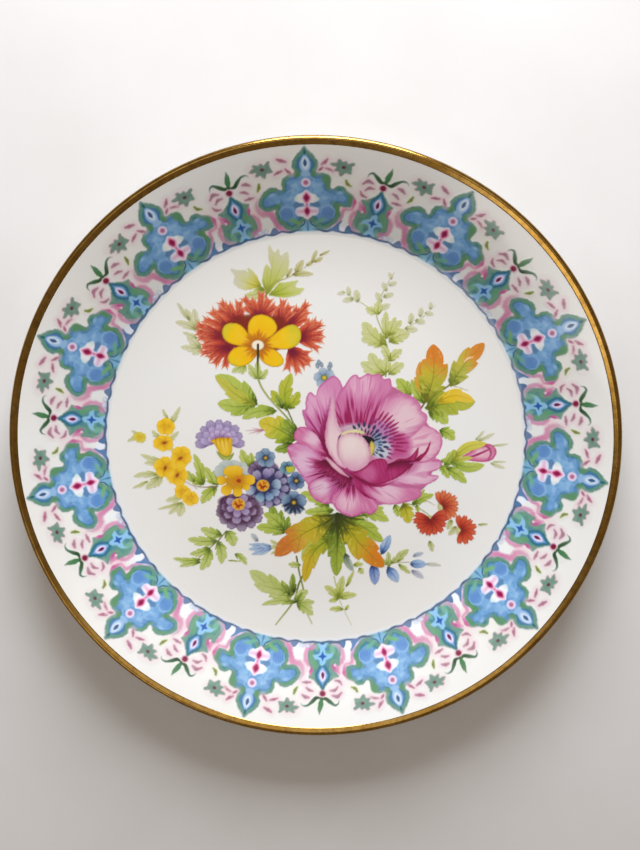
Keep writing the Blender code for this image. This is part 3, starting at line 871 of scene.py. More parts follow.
def paint_leaves_bottom(sheet):
    start(sheet, "leaves_bottom")
    stem(sheet, [(1.6, -52.6), (-3.4, -58.6), (-7.6, -66), (-10.4, -75), (-18.6, -86)], 0.5,
        "4E5A2A 76843E B4BE8C")
    stem(sheet, [(-8.8, -53.5), (-7.4, -62), (-5.4, -71), (-6, -76), (-1.8, -85.6)], 0.42,
        "5A6434 8A964E C0C8A0")
    leaves(sheet, [(-10.8, -71.6, -30.4, -60.2, 4.6, 1.6), (-11, -72, -21, -71, 2.8, 0.8),
        (-11.5, -70, -27, -66.6, 2.6, 0.6), (-9.4, -75.4, -25, -76.6, 1.7, -1.2),
        (-8.6, -76, -1.4, -81.4, 2.6, 0.6), (-8.6, -75.6, -0.6, -75.2, 1.7, 0),
        (-9, -75, -3.6, -69.6, 2.2, 0.6), (-7, -57.6, -12.8, -57.2, 1.4, 0)],
        codes="6E8432 A6BA5A BECB86")
    leaves(sheet, [(-10, -71, -10.6, -61.6, 1.5, 0.3), (-9.6, -75.6, -6.2, -70.6, 1, 0),
        (-12, -72, -16, -66.5, 0.9, 0.2)], codes=DARK, teeth=2)
    stem(sheet, [(8.4, -63), (10.6, -73), (13, -79), (16.4, -86)], 0.22, "A0AC6A B4BC88 CCD2B4")
    leaves(sheet, [(10.5, -73, 12.6, -62.6, 1.9, 0.2), (10.5, -73, 4, -67.6, 1.9, -0.4),
        (10.5, -73, 18.8, -71.6, 1.7, 0.3), (10.5, -73.4, 6, -75, 1.2, 0),
        (12.5, -78.8, 6.2, -78.8, 1.3, -0.4), (13.6, -79, 15.2, -76.6, 0.8, 0),
        (14, -68, 17.6, -60, 0.9, 0), (20, -59, 21.8, -61.6, 1.4, 0), (17.4, -57.6, 21.8, -57, 1.2, 0.2)],
        codes="7C8C2E B0BE5A C6CE88", teeth=2)
    leaves(sheet, [(6, -30, -6.6, -23.4, 2.8, -1.2), (8, -31.4, -4.8, -32.4, 2.4, 0.4),
        (20, -31.5, 33.4, -36.4, 3, 0.8), (22, -32, 31, -30.4, 1.8, 0.5)], codes=GREEN, teeth=3)
    leaf(sheet, (9.5, -38), (-6.2, -55.8), 4.8, -1, "5E7620 9DB23C B7C566", teeth=3)
    leaf(sheet, (10, -42), (-5.4, -65.8), 3.6, -4, "4A5C18 8E9E28 BCB22C",
        "C9AE2A", teeth=3)
    leaf(sheet, (9.6, -37), (9.4, -62.8), 4.2, 0.4, "2E3A12 62781F 98AE3E", teeth=3)
    leaf(sheet, (12.6, -35.6), (30.8, -46.2), 3.8, 1.4, "3C4C14 84A02A A6BA48", teeth=3)
    leaf(sheet, (12, -36), (31.4, -58.4), 5.8, -1.2, "5A641A ACA61E C2B02C",
        "D3801F", teeth=3, lit=-1)
    leaf(sheet, (7.6, -34.4), (-7.4, -37.4), 2.7, 0.4, "5A681C A2A828 BCB638", teeth=2)
    leaf(sheet, (7, -36), (-18.8, -53.2), 6, -1.4, "6E7420 B7AE24 C8AC34",
        "C9742C", teeth=3)
    for tx, ty, wide in ((3, -45, 0.5), (6.5, -47, 0.5), (10.2, -50, 0.7), (13.4, -48, 0.6),
            (16.8, -44.6, 0.5), (21, -40, 0.5), (24.5, -36.2, 0.6), (0, -40, 0.45), (-1, -33.8, 0.5),
            (17.4, -38.8, 0.5), (26, -33.6, 0.6)):
        stroke(sheet, [(10, -33.4), ((10 + tx) / 2, (-33.4 + ty) / 2 - 0.6), (tx, ty)],
            [wide * 1.3, wide, 0.08], "2C3412 3F4A16 5E6C20", 0.35, 0.85)
    leaves(sheet, [(13.6, -52, 17.2, -60.4, 1.7, -0.4)], codes="4C5C4A 7C9088 A4B4AC", teeth=1)


def paint_leaves_left(sheet):
    start(sheet, "leaves_left")
    stem(sheet, [(-41, -41.6), (-44.6, -46), (-48.6, -49.4), (-54, -54.6)], 0.26, "7A6A3E 98964E")
    leaves(sheet, [(-43, -43.4, -52.6, -40.2, 2.4, 0.4), (-45.4, -46, -58.6, -45.2, 2.3, 0.8),
        (-48.6, -49.6, -57.8, -52.4, 1.8, 0.6), (-48.6, -50, -53, -60, 2.4, 0.8),
        (-44.6, -46.4, -43.4, -57, 2.5, 0.8), (-40.6, -41.6, -37.6, -48.6, 2.8, 0.6),
        (-53, -55, -65.4, -54.2, 1.4, 0.8), (-53, -56.2, -62.6, -58, 1.3, -0.3),
        (-37, -52.4, -31.8, -57.4, 1.6, 0.8), (-40.4, -55.4, -34.6, -55.8, 0.4, 0)],
        codes="5F7A2A A2B84E BCCB7C")
    stem(sheet, [(-25.4, 33), (-24.6, 27), (-20.6, 20.4), (-13.6, 12.6), (-9.6, 8)], 0.45,
        "8CA04A A2B070 6E8236")
    stem(sheet, [(-13.4, 22), (-12.6, 16), (-9.8, 9)], 0.4, "566A1E 5A6E20")
    leaves(sheet, [(-26.4, 17.6, -44.4, 30.6, 4.4, -0.6), (-26.8, 17.4, -43.6, 18, 3.9, 1.4)],
        codes=GREEN, teeth=2, lit=-1)
    leaf(sheet, (-27, 17.2), (-44.2, 30.2), 2.6, 1.4, "8A9A2C B2B83E C2C050", teeth=2)
    leaves(sheet, [(-12.8, 15, -10.4, 31.4, 3.2, 1.8), (-12.8, 16, -19.6, 23.8, 2.4, 0.4),
        (-12.4, 15.6, -7, 23.2, 2.4, -0.6)], codes="5E7A18 A0B030 B4BC40")
    leaf(sheet, (-14.6, 15.6), (-17.4, 21.6), 1.5, 0, DARK)
    leaf(sheet, (-17.6, 14.4), (-32.8, 11), 2.7, -1.4, "66802A 9DB548 AFC25E", teeth=2)
    leaf(sheet, (-8.6, 1.6), (-25.2, 9.8), 5.6, -0.4, "4E661A 93AC30 B2BC3C",
        "CFC23E", teeth=3)
    leaves(sheet, [(-8, 4.6, -13.8, 10.6, 2, 0.2), (-9, 3.2, -15, 6.6, 1, 0)], codes=DARK, teeth=2)
    leaf(sheet, (-10.4, -0.6), (-18.2, -3.6), 2.2, 0.6, DARK, teeth=2)
    for tx, ty in ((-31, 5.6), (-29.6, 4.2), (-28, 6.6), (-26.2, 4)):
        stroke(sheet, [(-23.6, 5.6), (tx, ty)], [0.35, 0.12], "B27888 D6BCC2")
    leaves(sheet, [(-51, -19.6, -54.8, -5.2, 2.1, -0.6), (-51, -19.6, -60, -13.4, 1.9, 0.4),
        (-45, -19.6, -49.8, -11.4, 2.3, 0.4), (-44, -19.6, -46.2, -13, 1.8, 0),
        (-45, -20.6, -52, -28.4, 2.5, -0.6), (-55, -18.4, -58, -13, 1.2, 0),
        (-29.6, -12, -33.4, -3.2, 2.2, 0.4), (-28.4, -10, -29, -4.6, 1.3, 0)],
        codes="5E7A20 9DB23C B9C76C")
    stem(sheet, [(-44.4, -20.4), (-51, -20.8), (-56, -19.8), (-59.8, -17.6)], 0.3, "8A7A6A B0A49A")
    stem(sheet, [(-54, -21.6), (-55.4, -20)], 0.2, "B0A49A B0A49A")
    leaves(sheet, [(-69, -9, -79, -5.4, 1.4, 0.5), (-70, -9.6, -77.4, -9.4, 1.2, 0),
        (-71, -15, -82.4, -15.6, 1.5, -0.6), (-71, -16, -77.2, -21.4, 2, 0.4),
        (-76, -18, -83, -21, 0.9, 0.2), (-69.4, -15.6, -71.6, -20.6, 0.9, 0),
        (-64, 9, -60.4, 16.4, 1, 0.2), (-65, 10, -62, 12.6, 1.1, 0), (-66, 10.6, -68.4, 15.4, 0.8, 0.2),
        (-70, 2, -73.4, 5.6, 1.2, 0.3), (-66, 0, -61.4, 5, 1.2, 0.3), (-80, 3, -84.6, 0.6, 1, 0),
        (-79.4, 3.4, -82.6, 5.6, 0.8, 0), (-60.6, -25, -68.2, -27, 1.6, 0.4),
        (-61, -28, -71.8, -31, 0.9, 0.3), (-62, -28.4, -67, -33.4, 1.3, 0.3),
        (-61, -28, -62.4, -34.6, 1.9, 0.3), (-66, 1, -64, -5.6, 0.8, 0)],
        codes="8E9A48 B9C280 CDD2A6", teeth=2, fade=0.15)
    leaves(sheet, [(-14, -41.4, -20.6, -29, 2.9, 0.8), (-13.4, -42.6, -12.2, -34.4, 1.7, 0.2),
        (-15, -40, -15.6, -31.4, 1.6, 0.3)], codes=DARK, teeth=3)
    leaves(sheet, [(-13.6, -41.6, -27, -39.6, 2.9, -0.6), (-14.4, -40.4, -23.6, -33, 2.7, -0.8)],
           codes="4F6A1C 93AC3E B0C158")
    stem(sheet, [(-12.8, -42), (-12.2, -45.6)], 0.4, "4A5A20 5A6A30")


# %% [markdown]
# Small round flowers are all one recipe: petals in a ring, each darkest at its outline, with a light heart
# of brush streaks and an eye in the middle. Count, size, tilt and colours make each kind.

# %% Small flowers
def petal_ring(sheet, centre, ring, size, count, codes, first=0, last=360, notch=0, seam=0.55):
    """Petals side by side on an ellipse of half-sizes ring. size is a petal's half length and breadth, and
    codes are its foot, its body and its bright end."""
    whole, codes = last - first >= 360, loads(codes)
    for index in range(count):
        angle = math.radians(first + (last - first) * index / (count if whole else max(1, count - 1)))
        jitter = 1 + 0.08 * math.sin(index * 2.4 + first + centre[0])
        way = np.array([ring[0] * math.cos(angle), ring[1] * math.sin(angle)])
        middle = np.array(centre) + way
        c, s = way / max(1e-6, np.hypot(*way))
        half = np.array(size) * jitter
        window = sheet.window([middle - max(half), middle + max(half)])
        x, y = sheet.x[window] - middle[0], sheet.y[window] - middle[1]
        out, aside = (x * c + y * s) / half[0], (y * c - x * s) / half[1]
        pinch = aside * (1 + 0.35 * ease(0.2, -1, out))
        reach = np.hypot(out, pinch) + notch * np.exp(-(aside / 0.22) ** 2) * ease(0.2, 1, out)
        depth = (1 - reach) * min(half) + 0.06 * grain(sheet.x[window], sheet.y[window], 0.6)
        streak = grain(aside * half[1] / 0.33 + index * 5, out * 1.2 + index, 1)
        colour = ramp(out + 0.22 * streak, (-0.85, codes[0]), (-0.2, codes[1]), (0.6, codes[2]),
            (1, codes[2]))
        colour = blend(colour, srgb(codes[1]), 0.45 * ease(0.1, 0.8, streak))
        colour = blend(colour, srgb(codes[0]),
            seam * ease(0.42, 0.02, depth) * (0.4 + 0.6 * ease(0.9, -0.2, out)))
        sheet.lay(window, depth, colour, 0.28)


def eye(sheet, centre, size, codes):
    """Rings of dabs in a small flower's middle, from the outside inwards."""
    for share, code in zip((0.86, 0.66, 0.34), loads(codes)):
        dab(sheet, centre, (size * share, size * share * 0.92), code, 0.4)


def blossom(sheet, centre, reach, count, codes, turn=0, flat=1, broad=1, heart=None):
    """A five-petalled flower of one ring."""
    ring = (reach * 0.52, reach * 0.52 * flat)
    petal_ring(sheet, centre, ring, (reach * 0.5, reach * 0.42 * broad), count, codes, turn, turn + 360,
        0.12, 0.5)
    if heart:
        eye(sheet, centre, reach * 0.34, heart)


YELLOW = "C0901A E8BC1C F0CC3A"


def paint_yellow_blossoms(sheet):
    start(sheet, "yellow_blossoms")
    for x, y, reach, turn, flat in ((-79, 2.4, 3, 20, 0.75), (-67.2, 7.2, 4.4, 10, 0.8),
            (-68.4, -0.4, 4.6, 40, 0.75), (-62.6, -15.2, 5.2, 70, 0.95), (-68, -11.6, 5.2, 15, 1),
            (-60.6, -6.6, 5, 55, 1), (-60.4, -23, 3.8, 0, 0.9), (-57, -26, 4, 50, 0.8)):
        dab(sheet, (x, y), (reach * 0.62, reach * 0.62 * flat), "E6BE1E")
        blossom(sheet, (x, y), reach, 5, YELLOW if reach > 3.1 else "C4B84A D2C446 D6CB64", turn,
            flat, 1.25)
        dab(sheet, (x, y), (reach * 0.4, reach * 0.34 * flat), "E4B428", 1.2, 0.8)
    for x, y, turn in ((-68, -11.9, 70), (-61, -7.4, 30), (-62.6, -15.2, 60), (-68, -0.2, 10)):
        dab(sheet, (x, y), (1.5, 1), "C98A1C", 0.8, turn=turn)
        dab(sheet, (x, y), (0.9, 0.45), "8A3E12", 0.4, turn=turn)


def paint_scabious(sheet):
    start(sheet, "scabious")
    lilac = "6C5890 9C8CC0 BAAEDA"
    shape(sheet, [(-51, -0.6), (-50.6, 3.6), (-47, 7), (-42.6, 8), (-38.6, 7), (-35.4, 4), (-35, 0.4),
        (-43, -0.6)], "6E5F88", 0.4)
    petal_ring(sheet, (-43, 0.4), (7.8, 7), (3.5, 2.15), 9, "5E4E84 8E80B0 AA9FC8", 188, -6, 0.12,
        0.9)
    petal_ring(sheet, (-43, 0.2), (5.4, 4.8), (3.7, 1.95), 7, lilac, 176, 6, 0.16, 0.9)
    petal_ring(sheet, (-42.6, 0.4), (3.6, 3), (2.9, 1.6), 6, "7E4A84 A492C6 C3B8E0", 166, 14,
        0.16, 0.9)
    for index in range(13):
        angle = math.radians(14 + index * 12.5)
        foot = np.array((-42.2, 0.2))
        tip = foot + np.array([5.6 * math.cos(angle), 4 * math.sin(angle)])
        stroke(sheet, [foot, tip], [0.45, 0.05], "6E2C58 8C6AA8", strength=0.8)
    cup = [(-47, 0.6), (-44.4, 1.9), (-41, 2.2), (-37.6, 1.8), (-37.4, -1.6), (-37.8, -5), (-40, -7),
        (-42.6, -6), (-44.2, -3), (-45.6, -0.8)]
    shape(sheet, cup, lambda depth, x, y: blend(ramp(depth + 0.25 * grain(x * 3, y), (0, "C99E20"),
        (0.9, "DFB824"), (2.4, "E8CB4A")), srgb("B5701E"),
        0.75 * ease(0.8, 2.2, y) * ease(0.3, 0.8, grain(x, y * 0.2, 0.5) + 0.6)), 0.35)
    for x in (-44.8, -43, -41.2, -39.4):
        stroke(sheet, [(x, 1.8), (x + 0.3, -0.6), (x + 0.9, -3.6)], [0.28, 0.2, 0.05],
            "B5701E CFA02A", 0.3, 0.7)
    calyx = [(-44.6, -4), (-43, -7), (-40.6, -8.6), (-38.2, -8), (-36.6, -4.6), (-38, -5.6),
        (-40.2, -6.4), (-42.4, -5.4)]
    shape(sheet, calyx, lambda depth, x, y: ramp(depth, (0, "7C8C3A"), (0.8, "A4B454"), (1.6, "C2C87C")),
        0.4)
    stem(sheet, [(-39.6, -8.4), (-38.6, -11)], 0.4, "5A6A2A 6A7A3A")


def paint_blue_primrose(sheet):
    """The double blue flower, from its shaded back petals to the sky-blue front ones."""
    plum, lilac = "3C2A48 6A557E 87759F", "34315C 7E7AA6 A29DC0"
    dab(sheet, (-23.4, -12.6), (6.6, 4.4), "4A3A5E", 1)
    petal_ring(sheet, (-23.6, -13.4), (5, 3.4), (2.2, 1.7), 6, plum, 18, 176, 0.14, 0.7)
    stroke(sheet, [(-23.8, -8.8), (-23.6, -13)], [0.3, 0.5], "1E2038 2E2A48")
    dab(sheet, (-20.8, -20.6), (9.6, 9.2), "33325C", 0.8)
    petal_ring(sheet, (-21.8, -20.8), (7.6, 7.3), (2.4, 1.75), 9, lilac, -138, 76, 0.14, 0.8)
    for angle, far, long, wide, codes in ((-162, 5.9, 2.5, 2.4, "44507E 97A9CC B4C2DC"),
            (72, 6.2, 2.8, 2.5, "463A6C 8880B2 A59FC8"),
            (118, 5.6, 2.6, 2.2, "463A6C 8A84AE A3A1C0"),
            (8, 6.1, 2.4, 2.7, "3E5278 8CA4C4 ABBDD6"),
            (-27, 6.2, 2.3, 2, "3E5278 8298C0 9DAFCE"),
            (-60, 5.4, 2.4, 2.3, "34487A 7896C2 8FAECE"),
            (-106, 5.4, 2.4, 2.2, "34507A 7A9CBE 96B8CA")):
        petal_ring(sheet, (-23.7, -20.3), (far, far), (long, wide), 1, codes, angle, angle, 0.14, 0.8)


def paint_purple_primrose(sheet):
    dab(sheet, (-34.4, -32.6), (9.4, 7.2), "45243F", 0.8)
    dab(sheet, (-35.4, -27.6), (8.6, 3.6), "4A2A50", 0.8)
    petal_ring(sheet, (-34.4, -32.8), (7.9, 5.8), (3.1, 2.35), 12, "45243F 7C6A90 978BAB", 180,
        524, 0.16, 1)
    dab(sheet, (-34.8, -31.2), (9.4, 7.2), "452440", 1.6, 0.75)
    petal_ring(sheet, (-34.8, -31), (5.2, 4.1), (3.2, 2.2), 8, "3F2038 8472A0 A496BA", 170, 480,
        0.16, 1)
    dab(sheet, (-34.8, -29.6), (7.2, 5.6), "452440", 1.3, 0.75)
    petal_ring(sheet, (-34.8, -29.4), (3.6, 3), (2.9, 1.9), 6, "4C2850 8E7AAC AC9FC8", 150, 420,
        0.14, 0.9)


def paint_primroses(sheet):
    start(sheet, "primroses")
    petal_ring(sheet, (-37.6, -15), (5.4, 4), (3.4, 3.2), 4, "7C949C A9BCC0 C0CCCC", 40, 158,
        0.12, 0.5)
    petal_ring(sheet, (-34.6, -16.6), (4.6, 3.6), (2.8, 2.4), 2, "8C9EAA B4C0CA C8D0D2", 20, 60,
        0.12, 0.5)
    sky = "34486A 6886AA 8FA5C2"
    dark_sky = "1E2440 4E6894 7C94BC"
    paint_blue_primrose(sheet)
    blossom(sheet, (-22.4, -7.2), 4.7, 5, sky, 20, 0.95, 1.15, heart="26324A 7A6A32 D8A24A")
    blossom(sheet, (-12.6, -11.8), 3.6, 5, "2A4258 56809C 7FA4BC", 60, 0.9, 1.15,
        heart="16202E 98A23A BFC24A")
    dab(sheet, (-11.2, -12.5), (1.9, 1.4), "BFC038", 0.5, turn=20)
    blossom(sheet, (-8.6, -17.8), 4.4, 5, dark_sky, 100, 1, 1.15, heart="1C2236 8A7A36 C9B04A")
    blossom(sheet, (-9.8, -28), 5.8, 5, "161A2C 56729A 8AA4C0", 90, 1, 1.15,
        heart="161A28 6E6230 D2B04C")
    for angle in range(196, 350, 26):
        spot = (-9.6 + 3.6 * math.cos(math.radians(angle)), -28.2 + 3.4 * math.sin(math.radians(angle)))
        dab(sheet, spot, (2, 0.62), "1C2238", 0.5, 0.85, turn=angle)
    paint_purple_primrose(sheet)
    for x, y, size in ((-23.8, -20, 2.7), (-35, -28.8, 2.8)):
        dab(sheet, (x, y), (size * 1.08, size * 1.02), "E3C35C")
        dab(sheet, (x, y), (size * 0.9, size * 0.86), "D8961E")
        for index in range(11):
            angle = math.radians(index * 32.7 + 12)
            spot = (x + size * 0.6 * math.cos(angle), y + size * 0.56 * math.sin(angle))
            dab(sheet, spot, (0.8, 0.26), "B4561A" if index % 3 else "E6BE4C", 0.4, 0.9,
                turn=math.degrees(angle))
        stroke(sheet, [(x - 1.3, y + 0.4), (x - 0.3, y - 0.9), (x + 1.2, y - 0.1)], [0.3, 0.6, 0.3],
            "9C3E14 8A3212")
    amber = "C08C16 E2B41A EAC438"
    dab(sheet, (-35.6, -18), (5, 4.2), "C8921A")
    for x, y, long, wide, turn in ((-42.2, -17.6, 2.6, 2.3, 180), (-40.2, -21.8, 3, 2.5, 235),
            (-35.4, -22.6, 2.6, 2.1, 275), (-30.4, -17.4, 3, 2.4, 0), (-31.6, -20.4, 2.2, 1.8, 320),
            (-37.2, -14, 3.2, 4.3, 95)):
        petal_ring(sheet, (x, y), (0.1, 0.1), (long, wide), 1, amber, turn, turn, 0.1, 0.6)
    for index in range(16):
        angle = math.radians(index * 22.5)
        tip = (-35.2 + 3 * math.cos(angle), -17.8 + 2.7 * math.sin(angle))
        stroke(sheet, [(-35.2, -17.8), tip], [0.45, 0.05], "9C4E12 D0981A", strength=0.8)
    dab(sheet, (-35, -17.6), (2.2, 2), "D0831C", 0.7)
    dab(sheet, (-34.7, -17.8), (1, 0.9), "94420E", 0.5)


def paint_bluebells(sheet):
    start(sheet, "bluebells")
    stem(sheet, [(31.6, -57.4), (37.4, -56.2), (45, -56)], 0.22, "9AA06A B4B894")
    leaves(sheet, [(33.6, -58.6, 33.2, -51, 1.3, 0), (36.6, -56, 42.6, -50, 1.8, 0.5),
        (38, -57, 43.6, -61.4, 1.2, 0), (34.6, -56.6, 38.6, -52.6, 1.2, 0),
        (33, -57, 29.6, -54.6, 1.1, 0)], codes="76863C A8B662 C0CA8C", teeth=2)
    blue = "2E4C86 6A90CE A2BEE6"
    for bx, by, tx, ty, wide, codes in ((30.2, -52.2, 34.2, -43.2, 1.7, blue),
            (26.4, -57, 27.2, -67, 2, "2C3E78 5A78BE 8CA4DA"), (33, -58.8, 37.8, -65.6, 2, blue),
            (43.4, -57, 50.8, -57, 1.7, blue), (44.6, -53.2, 49.4, -51.6, 0.9,
            "8A98B4 A6B4CC BCC6D6"), (44, -60, 49.6, -63.6, 1.2, "8A8EB4 A4AACC BEC4DA"),
            (50.6, -56.8, 57.6, -57.4, 0.8, "B4BCC4 C4CACC CDD0CC")):
        leaf(sheet, (bx, by), (tx, ty), wide * 1.1, 0.2, codes, teeth=1, cut=0)
    for tx, ty, wide in ((-30.6, -47.6, 1.1), (-30.8, -50, 1.3), (-29.4, -52.6, 1.2), (-26, -52.8, 0.9),
            (-26.4, -47.4, 1)):
        leaf(sheet, (-20, -49.2), (tx, ty), wide, 0, "4A6CA6 7C9ED2 ACC4E4", teeth=1, cut=0)
    leaves(sheet, [(-26.4, -46.2, -29.4, -42.4, 1.3, 0.2)], codes="8898AC A8B4C0 C0C8CC", teeth=1)
    leaves(sheet, [(-14.8, -49, -20.6, -49, 1.6, 0), (-15, -48.4, -21, -45.6, 1.2, 0.5),
        (-15.4, -49.6, -20.6, -52.4, 0.9, 0)], codes="8C8C54 B0B878 C4CA9C", teeth=2)
    blossom(sheet, (4.2, 29.4), 4.8, 5, "5C7A98 8CA6C4 AFC0D6", 100, 0.95, 1.1,
        heart="5C6A3A B9A832 D2C24A")
    for spot in ((1.9, 36.2), (1.2, 34.8), (3, 35.2), (7, 35.2), (6.4, 33.8)):
        dab(sheet, spot, (0.8, 1.3), "71879E", 0.5, turn=15)
        dab(sheet, spot, (0.35, 0.7), "9FB2C2", 0.4, turn=15)


def half_daisy(sheet, base, first, last, length, count, codes):
    """The petals of a small daisy seen from the side."""
    petal_ring(sheet, base, (length * 0.56, length * 0.56), (length * 0.5, length * 0.215), count, codes,
        first, last, 0.26, 0.9)
    for index in range(count):
        angle = math.radians(first + (last - first) * index / (count - 1))
        for lean in (-0.1, 0.1):
            far = (base[0] + 0.92 * length * math.cos(angle + lean),
                base[1] + 0.92 * length * math.sin(angle + lean))
            stroke(sheet, [base, far], [0.14, 0.1], "7A1E1A 9A3222", 0.3, 0.5)


def paint_red_daisies(sheet):
    start(sheet, "red_daisies")
    stem(sheet, [(37, -27.6), (44, -29), (50, -32.4), (54, -36)], 0.25, "8A9A4A A4AC74")
    stem(sheet, [(46, -30), (50, -27), (54, -29)], 0.18, "A4AC74 B4B88C")
    leaves(sheet, [(44, -28.6, 53.6, -24, 1.9, 0.5), (45, -28, 49.6, -21.6, 1.1, 0.2),
        (36, -29, 37.6, -34.4, 1.7, 0.4), (46, -29, 46.8, -32.6, 0.9, 0)], codes=GREEN)
    leaf(sheet, (40, -28.6), (42.6, -37.6), 3.2, 0.3, OLIVE, teeth=3)
    leaves(sheet, [(64, -39, 60.6, -43, 1.4, 0.2), (52, -46, 53.4, -51, 1.3, 0.2),
        (62, -36, 60, -40.4, 1.3, 0), (74, -38, 78.4, -37.6, 0.6, 0)],
        codes="8E9A52 B2BC7C C8CEA2", teeth=2)
    for x, y, wide, tall in ((57.2, -29.6, 1.7, 2.8), (51.8, -35.6, 2.2, 1.8), (65.6, -41, 1.5, 2.6)):
        dab(sheet, (x, y), (wide, tall), "B4B878")
        dab(sheet, (x - 0.3, y), (wide * 0.5, tall * 0.6), "CDC99A")
    half_daisy(sheet, (57.8, -29.6), 112, -62, 7.2, 8, "8C2A24 CE5E3A E08658")
    half_daisy(sheet, (52.4, -35.8), 30, -200, 7.6, 10, "7E1C1E BE402C D05A3C")
    half_daisy(sheet, (66.4, -40.6), 104, -98, 6.8, 8, "8C2420 C84A2E D86844")


def paint_rose_bud(sheet):
    start(sheet, "rose_bud")
    leaves(sheet, [(58.6, -11.4, 63, -3.2, 1.8, 0.4), (58.4, -11.6, 68.4, -18.6, 2.4, 0.6),
        (56, -10.2, 60.4, -16.6, 1.5, 0.2), (56.4, -9, 59.4, -7.6, 0.9, 0)], codes=GREEN)
    stem(sheet, [(55.6, -10.6), (59, -10.8), (64, -8.6)], 0.35, "8A9A4A 8A9A4A")
    leaves(sheet, [(72, 1, 75.8, 5.6, 0.7, 0), (73, 0.6, 80.4, 4.4, 0.9, 0),
        (79, -1.6, 86.6, -0.4, 0.6, 0), (79, -9.4, 85.4, -11.6, 0.9, 0), (80, -8.8, 85.8, -8.6, 0.5, 0)],
        codes=PALE, teeth=1, fade=0.3)
    bud = [(65.4, -7.2), (69, -4.6), (72.6, -2), (77, -0.5), (80, -1.6), (81.4, -4.4), (79.8, -7.6),
        (76, -9), (71.6, -8.6), (68, -8)]
    shape(sheet, bud, lambda depth, x, y: blend(ramp(depth + 0.3 * grain(x * 0.6, y * 2), (0, "B8487E"),
        (0.9, "D07AA4"), (2.4, "E2AEC8")), srgb("EED8E0"),
        0.6 * ease(2.6, 0.4, np.hypot(x - 74, y + 4.6))), 0.35)
    stroke(sheet, [(67.4, -7.4), (72.4, -5.8), (78.8, -2.8)], [0.2, 0.55, 0.3], "9C2E68 A83E74")
    stroke(sheet, [(72.6, -2.2), (76.6, -1.4), (79, -4.6), (77.6, -8.2)], [0.2, 0.6, 0.5, 0.2],
        "B04A80 B04A80", 0.5)
    leaf(sheet, (61.4, -8.2), (77.2, -0.4), 2.3, 2.4, "93A234 BDC24A D2CB56", teeth=1)
    leaf(sheet, (61.2, -9), (76.4, -10.4), 2.4, -1.6, "72902E 9DB548 B4C45C", teeth=1)
    leaf(sheet, (62.4, -8.6), (71, -6.9), 1.2, 0.2, "93A234 B2BC4A C8C85E", teeth=1)


# %% [markdown]
# The red flower is a fringe of spikes. Each spike is one pull of a loaded brush, dark where it starts and
# worn out at its tip. Each of the nine lobes is a root and the ends of its fingers.

# %% The carnation and the buttercup on it
CARNATION_HEART = np.array((-25, 46))
CARNATION_LOBES = [
    [(-38, 43.5), (-40, 33.8), (-45.2, 35.2), (-47.8, 38), (-51.3, 40.2), (-51, 43.4)],
    [(-39.5, 48), (-49.8, 45.4), (-52.4, 47.4), (-53.4, 50.2), (-53, 53.8), (-49, 52.6)],
    [(-38, 52), (-49.6, 55.6), (-46, 59.6), (-43.4, 57.6)],
    [(-33.5, 54), (-43, 60.4), (-41.7, 64), (-38, 62.4), (-33.2, 63.7), (-32, 60.6)],
    [(-10, 41.5), (-12.4, 32.8), (-7.3, 31.2), (-3.8, 34.4), (-1.5, 36.2), (-2.6, 39.8)],
    [(-7, 47.5), (2.2, 42), (3.9, 46.2), (4.2, 49.4), (4, 54), (1.5, 55.4), (-1.6, 54.6)],
    [(-12, 52.5), (-2.8, 56.2), (-2.3, 59.8), (-2.2, 63.4), (-7, 60.8)],
    [(-16, 53), (-9.8, 59), (-10.6, 62), (-13.5, 64.6), (-16.4, 61.6)],
    [(-24, 56), (-30.8, 61.2), (-31.5, 65.6), (-28, 64.4), (-23.4, 68), (-19.8, 64.8), (-17, 61.4)],
]


def paint_lobe(sheet, root, ends, chance):
    """One lobe: a few pointed fingers from one root, each split by finer pulls of the brush near its end."""
    root = np.array(root)
    for end in (np.array(end) for end in ends):
        way = end - root
        long = np.hypot(*way)
        aside = np.array([-way[1], way[0]]) / long
        body = ("C24630", "CE583C", "B83F36")[chance.integers(3)]
        middle = root + 0.5 * way + aside * chance.uniform(-0.5, 0.5)
        stroke(sheet, [root, middle, root + 0.97 * way], [2, 1.9, 0.1],
            f"7E1E34 {body} D26A48 DA8C6C", 0.3, rough=0.15)
        for side in (-1, 1):
            for share in (0.45, 0.62, 0.78):
                start_at = root + share * way
                barb = way / long * 3.6 * (1.15 - share * 0.4) + side * aside * chance.uniform(1.4, 2.2)
                stroke(sheet, [start_at, start_at + barb], [0.85, 0.06], f"{body} D36E4C DC9478", 0.3)
    for end in (np.array(end) for end in ends):
        way = end - root
        aside = np.array([-way[1], way[0]]) / np.hypot(*way)
        for shift in (-0.7, 0, 0.7):
            foot, far = root + aside * shift * 0.6, chance.uniform(0.55, 0.85)
            stroke(sheet, [foot, root + far * way + aside * shift], [0.34, 0.08], "6E1834 8E2A2C",
                0.3, 0.75)
        stroke(sheet, [root + 0.55 * way + aside * 0.4, root + 0.93 * way], [0.22, 0.06],
            "CF6C4E DD9078", 0.3, 0.8)


def paint_carnation(sheet):
    start(sheet, "carnation")
    chance = np.random.default_rng(5)
    dab(sheet, CARNATION_HEART + (0, 2.5), (15, 8), "8A2836", 1)
    for lobe in CARNATION_LOBES:
        paint_lobe(sheet, lobe[0], lobe[1:], chance)


